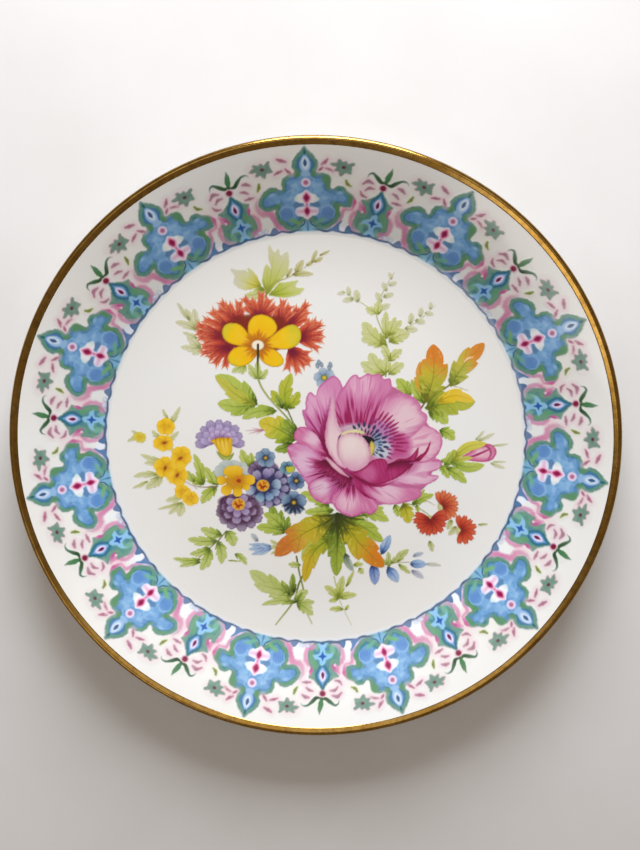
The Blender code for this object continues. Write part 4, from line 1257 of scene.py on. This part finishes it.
BUTTERCUP_HEART = np.array((-25.2, 44))
BUTTERCUP = [[(-29.6, 50.6), (-28.8, 54.6), (-26.4, 57), (-22.8, 57.6), (-19.2, 56.2), (-16.8, 53.2),
    (-17, 50.2), (-19.6, 47.6), (-23.2, 45.2), (-26.4, 45.4), (-28.6, 47.6)], [(-41, 49.8), (-39.8, 52.8),
    (-37, 53.9), (-33.4, 53.3), (-30.8, 51.2), (-28.8, 48.2), (-26.2, 45), (-29.6, 43.6), (-34, 43.8),
    (-37.8, 44.9), (-40.2, 47)], [(-18.4, 48.4), (-14.6, 51.4), (-10.6, 53.1), (-7.8, 52.4), (-6, 49.8),
    (-6.2, 46.4), (-8.2, 43.6), (-12.2, 42.2), (-17, 42.4), (-21.6, 43.6), (-22.2, 45.4)], [(-26.6, 42.8),
    (-30.4, 43.6), (-34.6, 43.2), (-37.6, 41), (-38.7, 38), (-37.2, 35.4), (-33.4, 34.4), (-29.4, 35.6),
    (-26.4, 38.6), (-25.2, 41.2)], [(-24, 43), (-19.6, 43), (-16, 40.8), (-13.9, 37.8), (-14.4, 35.4),
    (-17, 34.3), (-20.8, 34.9), (-23.8, 37.4), (-25.2, 40.6)],]


def paint_buttercup(sheet):
    start(sheet, "buttercup")
    dab(sheet, (-25.4, 49.4), (16.6, 8.4), "7E2A1C", 1.2, 0.9)
    leaves(sheet, [(-25.6, 29, -29.4, 35.6, 1.7, 0.4), (-25.2, 29, -25.6, 37, 1.6, 0),
        (-25, 29, -21, 33.4, 1.4, -0.5), (-32, 35.4, -37, 32, 1.7, 0.4), (-31, 35, -32.6, 31, 1.4, 0)],
        codes="7C9038 A9BC5E C2CE8C", teeth=2)
    for order, outline in enumerate(BUTTERCUP):
        def yellow(depth, x, y):
            out = np.hypot(x - BUTTERCUP_HEART[0], y - BUTTERCUP_HEART[1])
            turn = np.arctan2(y - BUTTERCUP_HEART[1], x - BUTTERCUP_HEART[0])
            streak = grain(turn * 16 + order * 7, out / 7)
            colour = ramp(out + 1 * streak, (3, "E8A81A"), (7, "EEBC12"), (12.5, "EEC614"), (16, "D2C62E"))
            colour = blend(colour, srgb("B8901C"), 0.7 * ease(0.8, 0.1, depth))
            colour = blend(colour, srgb("B96A16"), 0.85 * ease(6.6, 4, out + 1.6 * streak))
            return blend(colour, srgb("EDCB3C"),
                0.45 * ease(0.9, 2.4, depth) * ease(-0.2, 0.7, grain(x, y, 3.4)))
        shape(sheet, outline, yellow, 0.3, rough=0.1)
    for index in range(40):
        angle = math.radians(index * 9)
        long = 4.6 + 1.1 * LATTICE[3, index]
        ray = np.array([math.cos(angle), math.sin(angle) * 0.85])
        stroke(sheet, [BUTTERCUP_HEART + 2 * ray, BUTTERCUP_HEART + long * ray], [0.4, 0.05],
            "99501A C98A1C", 0.3, 0.8)
    dab(sheet, BUTTERCUP_HEART, (2.7, 2.2), "F3EDDC", 0.7)
    stroke(sheet, [BUTTERCUP_HEART + (0.1, 0.2), (-25.2, 39.6), (-25.4, 34), (-25.4, 29)],
        [0.5, 0.55, 0.4, 0.35], "2E2A12 3E3A18 6E7C3A 8CA04A", 0.3)


# %% [markdown]
# The peony is the bouquet's largest flower: a dozen petals, each an outline, a point that its brush streaks
# fan out from, a dark load at its foot and a pale patch where the brush was wiped. The order of the list is
# the order of painting, from the petals behind to the ones in front.

# %% The peony's petals
ROSE, BLUSH, MAGENTA, WINE = "CF7BAE", "E3BFD8", "BC5290", "8E1650"


def petal(sheet, points, root, foot=6, pale=None, body=ROSE, edge=MAGENTA, deep=WINE, light=BLUSH, rays=16,
          rim=1.3, turn=0):
    """foot is how far the dark load reaches from root; pale is x, y and reach of the wiped patch."""
    def paint(depth, x, y):
        out = np.hypot(x - root[0], y - root[1])
        angle = np.arctan2(y - root[1], x - root[0]) + turn
        streak = grain(angle * rays, out / 9 + root[0]) + 0.5 * grain(angle * rays * 2.3, out / 5)
        colour = np.tile(srgb(body), depth.shape + (1,))
        if pale:
            colour = blend(colour, srgb(light), 0.95 * ease(1.25, 0.35,
                np.hypot(x - pale[0], y - pale[1]) / pale[2] - 0.18 * streak))
        colour = blend(colour, srgb(edge), 0.75 * ease(rim + 0.5 * streak, 0, depth))
        colour = blend(colour, srgb(edge), 0.35 * ease(0.25, 0.9, streak))
        colour = blend(colour, srgb(light), 0.3 * ease(-0.25, -0.9, streak))
        if foot:
            colour = blend(colour, srgb(edge),
                0.8 * ease(foot * 1.5, foot * 0.9, out + foot * 0.45 * streak))
            colour = blend(colour, srgb(deep),
                0.95 * ease(foot * 1.05, foot * 0.7, out + foot * 0.4 * streak))
        return colour
    shape(sheet, points, paint, 0.3, rough=0.12)


def paint_peony_back(sheet):
    shape(sheet, [(-10, -3), (-2, 8), (2, 22), (12, 24), (30, 27), (44, 18), (54, 0), (52, -16),
        (44, -25), (24, -30), (12, -30), (0, -24), (-6, -14)], "B96A98")
    petal(sheet, [(-12.6, -2.6), (-9.4, -0.4), (-4.4, -0.4), (1, -3.6), (4, -8), (8.6, -13.6),
        (13.6, -17.2), (12, -20.6), (4, -20.2), (-2.8, -19.6), (-6.2, -15.4), (-9.2, -11), (-11.6, -6.6)],
        (10.5, -12), 9.5, (-5, -9, 6.5), body="D08CC0", light="DEBBDC", deep="6E1038")
    petal(sheet, [(-3.2, -19.4), (0, -17), (8, -15.6), (15.6, -17.4), (18.6, -20.4), (15, -21.8),
        (10, -22.6), (7.2, -25.4), (7.2, -28.2), (3.6, -28.4), (-0.4, -26.4), (-2.8, -23)], (14.5, -15.6),
        7.5, (2.6, -21, 5), light="DFC4DC", edge="B04C92", deep="6E1038")
    petal(sheet, [(26.6, -19.6), (33, -19), (40, -19.6), (47.6, -20.4), (53.6, -18), (55.8, -15.6),
        (51.6, -14.4), (55.4, -12.4), (57, -9.6), (55.2, -7.6), (50, -8.2), (44, -9.4), (38, -14)],
        (30, -16), 0, (46, -14, 8.5), body="D69AC4", light="E3C3DC", turn=0.4, rays=10)
    petal(sheet, [(16.4, -15.8), (24, -18.4), (32, -19.2), (40, -20.4), (46.6, -21.4), (48.2, -23.6),
        (46.8, -25.8), (42.4, -27.4), (36, -28.8), (30.4, -28.4), (26.6, -26.6), (22, -22.6)], (18, -15),
        9, (33, -22.6, 8), deep="A02464", edge="BE5C98", rays=22)
    petal(sheet, [(7.2, -25.2), (10, -22.4), (14, -20.6), (19.4, -19.6), (23.6, -23), (27.2, -26.6),
        (28.6, -29.2), (27.8, -31.8), (25.2, -33.6), (22, -32.8), (18.8, -34.3), (14.8, -34.4),
        (11.4, -32.6), (8.8, -30.2)], (16.4, -15), 8, (14.6, -27.6, 6), light="E6BFD8", edge="B8488A",
        deep="8A1A50")
    petal(sheet, [(47.4, 8.4), (52, 7), (55.6, 4.6), (57.2, 1), (56.6, -2.6), (54.8, -6), (51.6, -8.4),
        (47.6, -9.4), (42, -8.6), (36, -6.4), (34, -1), (38, 2), (43, 3)], (30, -3), 0, (48, -1, 8.5),
        light="E6C6DA", body="D694BC")


def paint_peony_middle(sheet):
    dab(sheet, (13, -10), (8.5, 6), "A8407E", 1.5)
    dab(sheet, (34, -10), (13, 6), "C77BAC", 1.5)
    petal(sheet, [(26, 9.6), (27.4, 13.6), (29.2, 17.2), (32.2, 20.4), (36.2, 22.2), (40.6, 22.2),
        (44.6, 20.2), (47.2, 17), (47.6, 14.6), (50, 12.6), (50, 9.4), (47.6, 6.4), (44, 3), (40.6, 1.2),
        (36, -1), (28, 2)], (25, 2), 0, (40.4, 11, 10), light="E3C9DA", edge="C0649E", body="D28CB8",
        rim=3)
    petal(sheet, [(-9, 5), (-6.6, 7.2), (-3, 6.6), (0.6, 4), (3.4, 0.4), (6.4, -4.4), (7.4, -7.4),
        (4.6, -7), (0, -4.6), (-3.6, -1.4), (-8, 0.4), (-9.6, 2.4)], (8, -7), 5.5, (-1, 1.6, 4.5),
        light="E2C0DC", deep="8A1A50")
    petal(sheet, [(-3.6, 6.6), (-4.8, 10.6), (-5.8, 14.6), (-4.2, 15.2), (-4.2, 18.6), (-3.4, 21.6),
        (-1.8, 22.9), (0.4, 21.4), (1.6, 25), (4.6, 28), (8.4, 30.3), (11, 28.4), (12.4, 24.6), (11, 21),
        (8.4, 16), (6.4, 10), (5.2, 4), (6.4, -3), (9, -7.6), (6.8, -7.4), (3.2, -1.6), (0.8, 3.4)],
        (7, -5), 15, (1, 17, 9), body="D28ABC", light="DDA8CE", deep="8A1A54", edge="B8569A", rays=26)
    stroke(sheet, [(7.3, 21), (5, 11), (3.4, 4), (5.6, -3.4), (9.6, -9.6), (14.6, -13.6)],
        [0.2, 0.5, 1.2, 1.5, 1.1, 0.3], "B05C98 A0407A 8A1A54 6E1038 7A1440 A02464", 0.9,
        0.8, rough=0.3)
    petal(sheet, [(9, 10.6), (9, 16), (10.4, 21.8), (12.8, 25.2), (15.6, 29.4), (18.2, 30.9),
        (20.2, 29.6), (23.4, 31.3), (26, 30.7), (28.8, 31.2), (30.8, 28.9), (33.4, 29.1), (34.2, 26.2),
        (34.4, 23.6), (31.8, 20.6), (29.2, 17.2), (27.4, 13), (26.2, 8.4), (21, 7.4), (15, 7.8),
        (11, 6.8)], (19, -8), 24, (21, 26, 7), body="CF82B4", light="E3B4D4", deep="941B56",
        edge="C0609C", rays=34)
    crescent = [(7.6, 22.4), (8.8, 19), (9.4, 13), (10.6, 8), (12.6, 4), (12, 0), (11, -5), (14, -11.4),
        (12, -11.6), (8.6, -8.6), (5.6, -3.6), (4.4, 2.4), (5.2, 9), (6.6, 15)]
    shape(sheet, crescent, lambda depth, x, y: blend(ramp(depth + 0.4 * grain(x * 1.6, y * 0.25),
        (0, "C887AE"), (0.8, "DCB2CA"), (2, "E6CFDB")), srgb("D6A4C4"), ease(0, 14, y) * 0.5), 0.35)


# %% [markdown]
# In the peony's heart lie the stamens: a pale fringe with navy ticks on it, lilac and blue shade to the
# right, and crimson ticks that run out onto the petals.

# %% The peony's heart and front petals
PEONY_HEART = (22, -0.6)


def ticks(sheet, radii, first, last, count, width, codes):
    for index in range(count):
        share = index / (count - 1)
        angle = math.radians(first + (last - first) * share)
        jump = 0.1 * LATTICE[7, index % 64]
        ray = np.array([math.cos(angle), 0.9 * math.sin(angle)])
        ends = [np.array(PEONY_HEART) + radii[0] * (1 + jump) * ray,
            np.array(PEONY_HEART) + radii[1] * (1 + jump) * ray]
        stroke(sheet, ends, [width, width * 1.3, width * 0.5], codes, 0.35, 0.9)


def paint_peony_heart(sheet):
    dab(sheet, (36.6, -1.2), (6.6, 5.6), "B84A8C", 3, 0.9, turn=-10)
    dab(sheet, (31, 5.2), (5, 4.2), "B27CB6", 2.6, 0.95, turn=-20)
    dab(sheet, (30, -3.2), (4.6, 4.6), "C3CDE0", 2.4, 0.95)
    dab(sheet, (27.6, 1.2), (2.4, 3.4), "7F9ABC", 1.6, 0.9, turn=10)
    dab(sheet, (17.6, 6.4), (6.8, 2.2), "C9B4CC", 1.8, 0.9)
    ticks(sheet, (13.6, 18.4), 62, -12, 12, 0.42, "8E1A52 A02860")
    ticks(sheet, (11.4, 13.6), 74, -32, 13, 0.4, "7A2A68 9A3A7C")
    ticks(sheet, (8.6, 10.4), 118, -38, 12, 0.52, "20264A 343E6A")
    ticks(sheet, (5.4, 8.2), 150, 20, 11, 0.32, "1E2038 383C60")
    ticks(sheet, (6.6, 8.2), 6, -50, 6, 0.36, "2E4A72 4C6A92")
    stroke(sheet, [(12, 3.6), (15, 4.9), (19, 5.2), (22.4, 4)], [0.5, 0.75, 0.75, 0.5],
        "D9D3A6 E0DCB0 D2CC9C", 0.5, rough=0.3)
    stroke(sheet, [(11.6, 3.6), (10.8, 2.4), (10.2, 0.6)], [0.2, 0.35, 0.1], "4A3A52 6A4A66")
    shape(sheet, [(21, 3), (23.6, 2.9), (26.2, 1.8), (26.6, 0.2), (25, -0.4), (24.2, -2), (22.6, 0.4)],
        "1B1824", 0.35)
    shape(sheet, [(25.2, 0.6), (26.7, -0.8), (26.9, -3), (26, -5.6), (24.8, -6.4), (24.2, -3)],
        lambda depth, x, y: ramp(depth, (0, "8E8040"), (0.5, "C9B654"), (1.2, "D6C66C")), 0.35)
    ball = [(10.2, 1), (12.2, 3.2), (15.6, 4.3), (19.4, 3.8), (22.4, 1.6), (24.4, -2), (25, -6),
        (23.6, -10.2), (20.4, -12.8), (16.6, -13), (12.8, -10.6), (10.6, -6.8), (9.8, -2.6)]
    shape(sheet, ball, lambda depth, x, y: blend(blend(ramp(depth + 0.5 * grain(x * 1.3, y * 0.2),
        (0, "C48CAE"), (0.8, "DAB8CA"), (2.6, "E6D4DC")), srgb("D59CC0"),
        0.75 * ease(-4, -13, y + 0.8 * grain(x, y, 2.5))), srgb("ECE2E6"),
        0.5 * ease(5, 1, np.hypot(x - 16, y + 0.6))), 0.35)


def paint_peony_front(sheet):
    fold = [(15.8, -14.2), (19.4, -13), (22.6, -11.2), (25, -8.8), (28.4, -7.4), (31.4, -7.9), (33, -9.9),
        (34.6, -9.4), (37.6, -7.6), (41, -7.4), (43.8, -5.6), (46.4, -2.2), (46.2, -5.6), (44.4, -9.2),
        (41.8, -12.6), (37.8, -15.8), (33, -18.2), (28, -19.6), (22, -18.6), (18, -16.2)]
    petal(sheet, fold, (36, -30), 0, (24, -14.4, 5), body="A82C6C", light="C4629C", edge="861844",
        deep="560A2A", rays=30)
    for index in range(14):
        root = np.array((33.4 + index * 0.85, -10.2 + 0.35 * index - 0.02 * index * index))
        tip = root + np.array((-1.6 - 0.1 * index, -3.4 - 0.12 * index))
        stroke(sheet, [root, tip], [0.55, 0.05], "5E0C30 8E1A50", strength=0.8)
    petal(sheet, [(44.6, -9), (46.4, -6.4), (49.4, -4.2), (51.8, 0.8), (51.2, -3.2), (49.4, -6.2),
        (47, -8.6)], (45, -9), 3, None, body="A62262", edge="9A1C50", deep="74103A")
    stroke(sheet, [(42.6, -9.6), (45.6, -9.2), (50.6, -8.8), (54.6, -7)], [0.2, 0.45, 0.35, 0.1],
        "B04484 C878A8 CE8CB4", 0.5)
    stroke(sheet, [(15.4, -13.8), (20, -17), (26, -19.8), (32, -19.6), (37.6, -17)],
        [0.3, 0.7, 0.7, 0.5, 0.1], "8A1846 7A1240 8A1A4C A63070 C070A8", 0.5, rough=0.15)
    stroke(sheet, [(15.6, -15.4), (19, -20.4), (23, -24.6), (27.6, -26.8)], [0.4, 0.75, 0.7, 0.15],
        "B0508C A82C70 8E1650 A83878", 0.5, rough=0.2)
    for index in range(26):
        share = index / 25
        root = np.array((4.2 + 12 * share, -8.6 - 8 * share))
        way = math.radians(206 + 62 * share + 6 * LATTICE[5, index])
        long = 6 + 2 * LATTICE[9, index] - 1.2 * share
        stroke(sheet, [root, root + long * np.array([math.cos(way), math.sin(way)])], [0.85, 0.45, 0.05],
            "5E0C30 8A1A50 B05494", 0.35, 0.85)
    stroke(sheet, [(5.2, -7.2), (9, -11.2), (12.2, -14), (15.2, -16)], [0.5, 1, 0.9, 0.25],
        "D098BA DFB6CB DBAAC2 CE86B0", 0.5)


def paint_peony(sheet):
    start(sheet, "peony")
    paint_peony_back(sheet)
    paint_peony_middle(sheet)
    paint_peony_heart(sheet)
    paint_peony_front(sheet)


# %% Paint the bouquet
def paint_bouquet(sheet):
    paint_leaves_top(sheet)
    paint_leaves_right(sheet)
    paint_leaves_left(sheet)
    paint_yellow_blossoms(sheet)
    paint_bluebells(sheet)
    paint_leaves_bottom(sheet)
    paint_scabious(sheet)
    paint_primroses(sheet)
    paint_carnation(sheet)
    paint_buttercup(sheet)
    paint_red_daisies(sheet)
    paint_rose_bud(sheet)
    paint_peony(sheet)


FIRED = np.array((0.945, 0.925, 0.88))      # firing sinks the bouquet's colours a little and warms them
paint_bouquet(bouquet)
bouquet.colour *= 1 - bouquet.cover[..., None] * (1 - FIRED)
print("painted share of the well", round(float(np.mean(bouquet.cover > 0.05)), 2))


# %% [markdown]
# A fired transfer is a skin of enamel that hugs the glaze. Each film starts as a flat grid with one point
# for each painted point. The grid is laid over the plate's own curve, raised by the thickness of its paint,
# and its bare faces are deleted, so only the painted shapes are left.

# %% Lay a painted sheet over the plate
FILM_LIFT = 0.022                                      # millimetres between the glaze and the thinnest paint
FILM_THICKNESS = 0.035
BARE = 0.05                                            # paint thinner than this share doesn't count


def linear(colour):
    """Paint-card colours as the shader wants them."""
    return np.where(colour <= 0.04045, colour / 12.92, ((colour + 0.055) / 1.055) ** 2.4)


def lay_film(name, sheet, window, keep, wrap):
    """A grid over a window of a sheet. keep says which cells stay, wrap bends flat places onto the plate."""
    rows, columns = sheet.x[window].shape
    bpy.ops.mesh.primitive_grid_add(x_subdivisions=columns - 1, y_subdivisions=rows - 1, size=MM)
    film = bpy.context.active_object
    film.name = film.data.name = name
    x, y = wrap(sheet.x[window], sheet.y[window])
    thickness = FILM_LIFT + FILM_THICKNESS * sheet.cover[window]
    z = face_height(np.hypot(x, y)) + thickness
    film.data.vertices.foreach_set("co", (np.stack([x, y, z], -1) * MM).astype(np.float32).ravel())
    paint = film.data.color_attributes.new(name="paint", type="FLOAT_COLOR", domain="POINT")
    colour = np.concatenate([linear(np.clip(sheet.colour[window], 0, 1)), np.ones((rows, columns, 1))], -1)
    paint.data.foreach_set("color", colour.astype(np.float32).ravel())
    film.data.polygons.foreach_set("select", ~keep.ravel())
    set_mode("EDIT")
    bpy.ops.mesh.select_mode(type="FACE")
    set_mode("OBJECT")
    film.data.polygons.foreach_set("select", ~keep.ravel())
    set_mode("EDIT")
    bpy.ops.mesh.delete(type="FACE")
    bpy.ops.mesh.select_mode(type="VERT")
    set_mode("OBJECT")
    bpy.ops.object.shade_smooth()
    film.select_set(False)
    return film


def painted_cells(sheet, window):
    """True for each grid cell that has paint on one of its four corners at least."""
    cover = sheet.cover[window] > BARE
    return cover[:-1, :-1] | cover[1:, :-1] | cover[:-1, 1:] | cover[1:, 1:]


# %% [markdown]
# The border is laid once, rolled up round the axis, and copied ten times. A large medallion stands just
# left of the bouquet's top, which fixes where the first one goes.

# %% The border's eleven repeats
FIRST_MEDALLION = math.radians(91.57)


def roll_up(x, y):
    angle = FIRST_MEDALLION - x / UNROLL_RADIUS
    return y * np.cos(angle), y * np.sin(angle)


whole = (slice(None), slice(None))
first_repeat = lay_film("border_repeat_01", border, whole, painted_cells(border, whole), roll_up)
border_pieces = [first_repeat]
for number in range(1, REPEATS):
    again = first_repeat.copy()
    again.data = first_repeat.data.copy()
    again.name = again.data.name = f"border_repeat_{number + 1:02d}"
    bpy.context.scene.collection.objects.link(again)
    again.data.transform(Matrix.Rotation(-2 * math.pi * number / REPEATS, 4, "Z"))
    border_pieces.append(again)
print("border repeats", len(border_pieces), "with", len(first_repeat.data.polygons), "faces each")

# %% The bouquet's pieces
def flat(x, y):
    return x, y


bouquet_pieces = []
for number, name in enumerate(BOUQUET_PIECES):
    cells = painted_cells(bouquet, whole)
    cells &= bouquet.owner[:-1, :-1] == number
    rows, columns = np.nonzero(cells)
    window = (slice(rows.min(), rows.max() + 2), slice(columns.min(), columns.max() + 2))
    keep = cells[rows.min():rows.max() + 1, columns.min():columns.max() + 1]
    piece = lay_film(f"bouquet_{name}", bouquet, window, keep, flat)
    bouquet_pieces.append(piece)
    print(piece.name, len(piece.data.polygons), "faces")


# %% [markdown]
# Every finish is built from nodes on Object coordinates, so it stays put on the plate from any side. One
# helper makes the Principled material and the shader's fixed values, and a second one adds a noise at a
# real size.

# %% Helpers for finishes
def new_finish(name, **fixed):
    material = bpy.data.materials.new(name)
    material.use_nodes = True
    shader = material.node_tree.nodes["Principled BSDF"]
    for socket, value in fixed.items():
        shader.inputs[socket.replace("_", " ")].default_value = value
    return material, material.node_tree, shader


def noise_of(tree, size, detail=3.0, roughness=0.5):
    """A noise whose bumps are size millimetres across."""
    place = tree.nodes.new("ShaderNodeTexCoord")
    noise = tree.nodes.new("ShaderNodeTexNoise")
    noise.inputs["Scale"].default_value = 1.0 / (size * MM)
    noise.inputs["Detail"].default_value = detail
    noise.inputs["Roughness"].default_value = roughness
    tree.links.new(place.outputs["Object"], noise.inputs["Vector"])
    return noise.outputs["Fac"]


def ranged(tree, value, low, high, start=0.3, end=0.7):
    """A value between start and end, spread over low to high."""
    spread = tree.nodes.new("ShaderNodeMapRange")
    spread.inputs["From Min"].default_value = start
    spread.inputs["From Max"].default_value = end
    spread.inputs["To Min"].default_value = low
    spread.inputs["To Max"].default_value = high
    tree.links.new(value, spread.inputs["Value"])
    return spread.outputs["Result"]


def mixed(tree, share, first, second, way="MIX"):
    """Two colours mixed by a share. A colour is a code's three shares or another node's output."""
    mix = tree.nodes.new("ShaderNodeMix")
    mix.data_type = "RGBA"
    mix.blend_type = way
    for socket, value in ((mix.inputs[0], share), (mix.inputs[6], first), (mix.inputs[7], second)):
        if isinstance(value, bpy.types.NodeSocket):
            tree.links.new(value, socket)
        elif isinstance(value, float):
            socket.default_value = value
        else:
            socket.default_value = (*value, 1.0)
    return mix.outputs[2]


def bumped(tree, shader, height, depth, strength=1.0):
    """Let a height field of so many millimetres move the surface's normal."""
    bump = tree.nodes.new("ShaderNodeBump")
    bump.inputs["Distance"].default_value = depth * MM
    bump.inputs["Strength"].default_value = strength
    tree.links.new(height, bump.inputs["Height"])
    tree.links.new(bump.outputs["Normal"], shader.inputs["Normal"])


# %% [markdown]
# Porcelain is warm white under a clear gloss glaze. The glaze pools a little, which shows as a slow change
# of warmth and a faint waviness in its reflections. The enamels lie under the same light, so their thin
# edges take the very same white, from the same nodes.

# %% Glazed porcelain
WHITE = linear(GROUND)


def glaze_tint(tree):
    """The slow warm and cool patches of the glaze, as a colour to multiply by."""
    patches = ranged(tree, noise_of(tree, 45.0, 2.0), 0.0, 1.0)
    return mixed(tree, patches, (1.0, 0.992, 0.975), (0.985, 0.995, 1.0))


def glaze_gloss(tree, shader, low=0.07, high=0.12):
    """Gloss that changes a little from place to place, over a faint ripple."""
    tree.links.new(ranged(tree, noise_of(tree, 9.0, 4.0), low, high), shader.inputs["Roughness"])
    bumped(tree, shader, noise_of(tree, 7.0, 2.0), 0.012, 0.6)


porcelain, tree, shader = new_finish("glazed_porcelain", IOR=1.5)
tree.links.new(mixed(tree, 1.0, WHITE, glaze_tint(tree), "MULTIPLY"), shader.inputs["Base Color"])
glaze_gloss(tree, shader)

# %% [markdown]
# The foot ring's resting face is bare biscuit: matt, slightly greyer, with a fine tooth from the kiln's
# sand and small dark marks from years on shelves.

# %% Bare biscuit
biscuit, tree, shader = new_finish("bare_biscuit")
grit = noise_of(tree, 0.5, 6.0, 0.7)
marks = ranged(tree, noise_of(tree, 3.0, 5.0, 0.6), 0.0, 1.0, 0.58, 0.72)
toothed = mixed(tree, ranged(tree, grit, 0.0, 1.0), linear(srgb("D2CBBC")), linear(srgb("E0DBCF")))
tree.links.new(mixed(tree, marks, toothed, linear(srgb("A69C8C"))), shader.inputs["Base Color"])
tree.links.new(ranged(tree, grit, 0.62, 0.85), shader.inputs["Roughness"])
bumped(tree, shader, grit, 0.05)

# %% [markdown]
# Enamel is ground glass with pigment, so up close its colour is faintly grainy and it shines a little less
# than the glaze. Its colour is the painted attribute of each film.

# %% Fired enamel
def enamel_finish(name, gloss):
    material, tree, shader = new_finish(name, IOR=1.5)
    paint = tree.nodes.new("ShaderNodeAttribute")
    paint.attribute_name = "paint"
    grainy = ranged(tree, noise_of(tree, 0.35, 3.0, 0.6), 0.0, 1.0)
    pigment = mixed(tree, grainy, (0.955, 0.955, 0.96), (1.0, 1.0, 1.0))
    coloured = mixed(tree, 1.0, paint.outputs["Color"], pigment, "MULTIPLY")
    tree.links.new(mixed(tree, 1.0, coloured, glaze_tint(tree), "MULTIPLY"), shader.inputs["Base Color"])
    glaze_gloss(tree, shader, *gloss)
    return material


border_enamel = enamel_finish("border_enamel", (0.1, 0.17))
bouquet_enamel = enamel_finish("bouquet_enamel", (0.09, 0.15))

# %% [markdown]
# Burnished gold on china is dark and brown where it reflects the room and bright only where it catches a
# lamp. Wiping wears it in fine lines along the band, and thin patches let a redder, duller tone through.

# %% Burnished gold
gold, tree, shader = new_finish("burnished_gold", Metallic=1.0)
worn = ranged(tree, noise_of(tree, 2.6, 6.0, 0.65), 0.0, 1.0, 0.45, 0.75)
fine = noise_of(tree, 0.22, 3.0, 0.7)
tone = mixed(tree, ranged(tree, noise_of(tree, 14.0, 3.0), 0.0, 1.0), linear(srgb("96712F")),
    linear(srgb("A88545")))
tree.links.new(mixed(tree, worn, tone, linear(srgb("7A5A2C"))), shader.inputs["Base Color"])
tree.links.new(ranged(tree, fine, 0.1, 0.22), shader.inputs["Roughness"])
bumped(tree, shader, fine, 0.01, 0.5)

# %% Give each piece its finish
FOOT_FACE_HEIGHT = 0.02 * MM
body.data.materials.append(porcelain)
body.data.materials.append(biscuit)
foot_faces = [face for face in body.data.polygons if face.center.z < FOOT_FACE_HEIGHT]
for face in foot_faces:
    face.material_index = 1
gilt.data.materials.append(gold)
for piece in border_pieces:
    piece.data.materials.append(border_enamel)
for piece in bouquet_pieces:
    piece.data.materials.append(bouquet_enamel)
print("bare faces on the foot ring", len(foot_faces))

# %% [markdown]
# Each piece rides on the plate's one body, and the plain imported solid that it replaces is hidden.

# %% Tie the pieces to the imported plate
for piece, slot, node in ((body, "glazed_porcelain", "plate_body"), (gilt, "burnished_gold", "gilt_rim")):
    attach(piece, "root")
    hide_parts(node)
for pieces, slot, node in ((border_pieces, "border_enamel", "border_transfer"),
                           (bouquet_pieces, "bouquet_enamel", "bouquet_transfer")):
    for piece in pieces:
        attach(piece, "root")
        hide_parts(node)


# %% [markdown]
# The plate lies on a pale, faintly mottled paper sweep. A floor with a little tooth takes the contact
# shadow better than a perfectly even one.

# %% The floor
bpy.ops.mesh.primitive_plane_add(size=6.0, location=(0, 0, 0))
floor = bpy.context.active_object
floor.name = floor.data.name = "paper_floor"
paper, tree, shader = new_finish("pale_paper")
mottle = ranged(tree, noise_of(tree, 60.0, 4.0), 0.0, 1.0)
tree.links.new(mixed(tree, mottle, linear(srgb("CFCDC8")), linear(srgb("D4D2CE"))),
    shader.inputs["Base Color"])
tree.links.new(ranged(tree, noise_of(tree, 1.2, 4.0), 0.75, 0.9), shader.inputs["Roughness"])
floor.data.materials.append(paper)

# %% [markdown]
# The camera looks almost straight down on the plate, from half a metre above it, and leans a little towards
# the bouquet's top. Its turn is built from three directions: right, up and back.

# %% The camera
AIM = (-2.2, -7.8)                # how far the plate's centre lies from the view's axis, mm
DISTANCE = 520.0
LENS = 48.94
LEAN, SWING = math.radians(-10.87), math.radians(-1.16)


def camera_matrix():
    c, s, c2, s2 = math.cos(LEAN), math.sin(LEAN), math.cos(SWING), math.sin(SWING)
    right = np.array((c2, -s * s2, c * s2))
    up = np.array((0.0, c, s))
    back = np.array((-s2, -s * c2, c * c2))
    place = np.array((0.0, 0.0, WELL_HEIGHT)) - AIM[0] * right - AIM[1] * up + DISTANCE * back
    matrix = np.eye(4)
    matrix[:3, 0], matrix[:3, 1], matrix[:3, 2], matrix[:3, 3] = right, up, back, place * MM
    return Matrix(matrix.tolist())


camera = bpy.data.objects.new("camera", bpy.data.cameras.new("camera"))
bpy.context.scene.collection.objects.link(camera)
camera.data.lens = LENS
camera.data.clip_start = 0.01
camera.matrix_world = camera_matrix()
bpy.context.scene.camera = camera
print("camera height", round(camera.location.z / MM), "mm")

# %% [markdown]
# The light comes mostly from beyond the bouquet's top, low enough that the near side of the rim glows and
# the far side falls into soft shade. A wide dim box overhead and a small one low on the left only give the
# gilding something to mirror, and a warm even room fills the rest.

# %% Lamps and room
def soft_box(name, place, size, power, colour):
    lamp = bpy.data.objects.new(name, bpy.data.lights.new(name, "AREA"))
    bpy.context.scene.collection.objects.link(lamp)
    lamp.data.shape = "RECTANGLE"
    lamp.data.size, lamp.data.size_y = size
    lamp.data.energy = power
    lamp.data.color = colour
    lamp.location = place
    lamp.rotation_euler = (-lamp.location).to_track_quat("-Z", "Y").to_euler()
    return lamp


soft_box("key", (0.06, 0.904, 0.42), (0.53, 0.53), 18.9, (0.955, 0.985, 1.07))
soft_box("overhead", (0.0, 0.3, 1.4), (1.1, 0.6), 2.2, (1.0, 1.0, 1.0))
soft_box("kicker", (-0.34, -0.49, 1.1), (0.32, 0.32), 0.8, (1.0, 0.97, 0.92))

room = bpy.data.worlds.new("room")
bpy.context.scene.world = room
room.use_nodes = True
room.node_tree.nodes["Background"].inputs["Color"].default_value = (1.0, 0.83, 0.71, 1.0)
room.node_tree.nodes["Background"].inputs["Strength"].default_value = 0.27
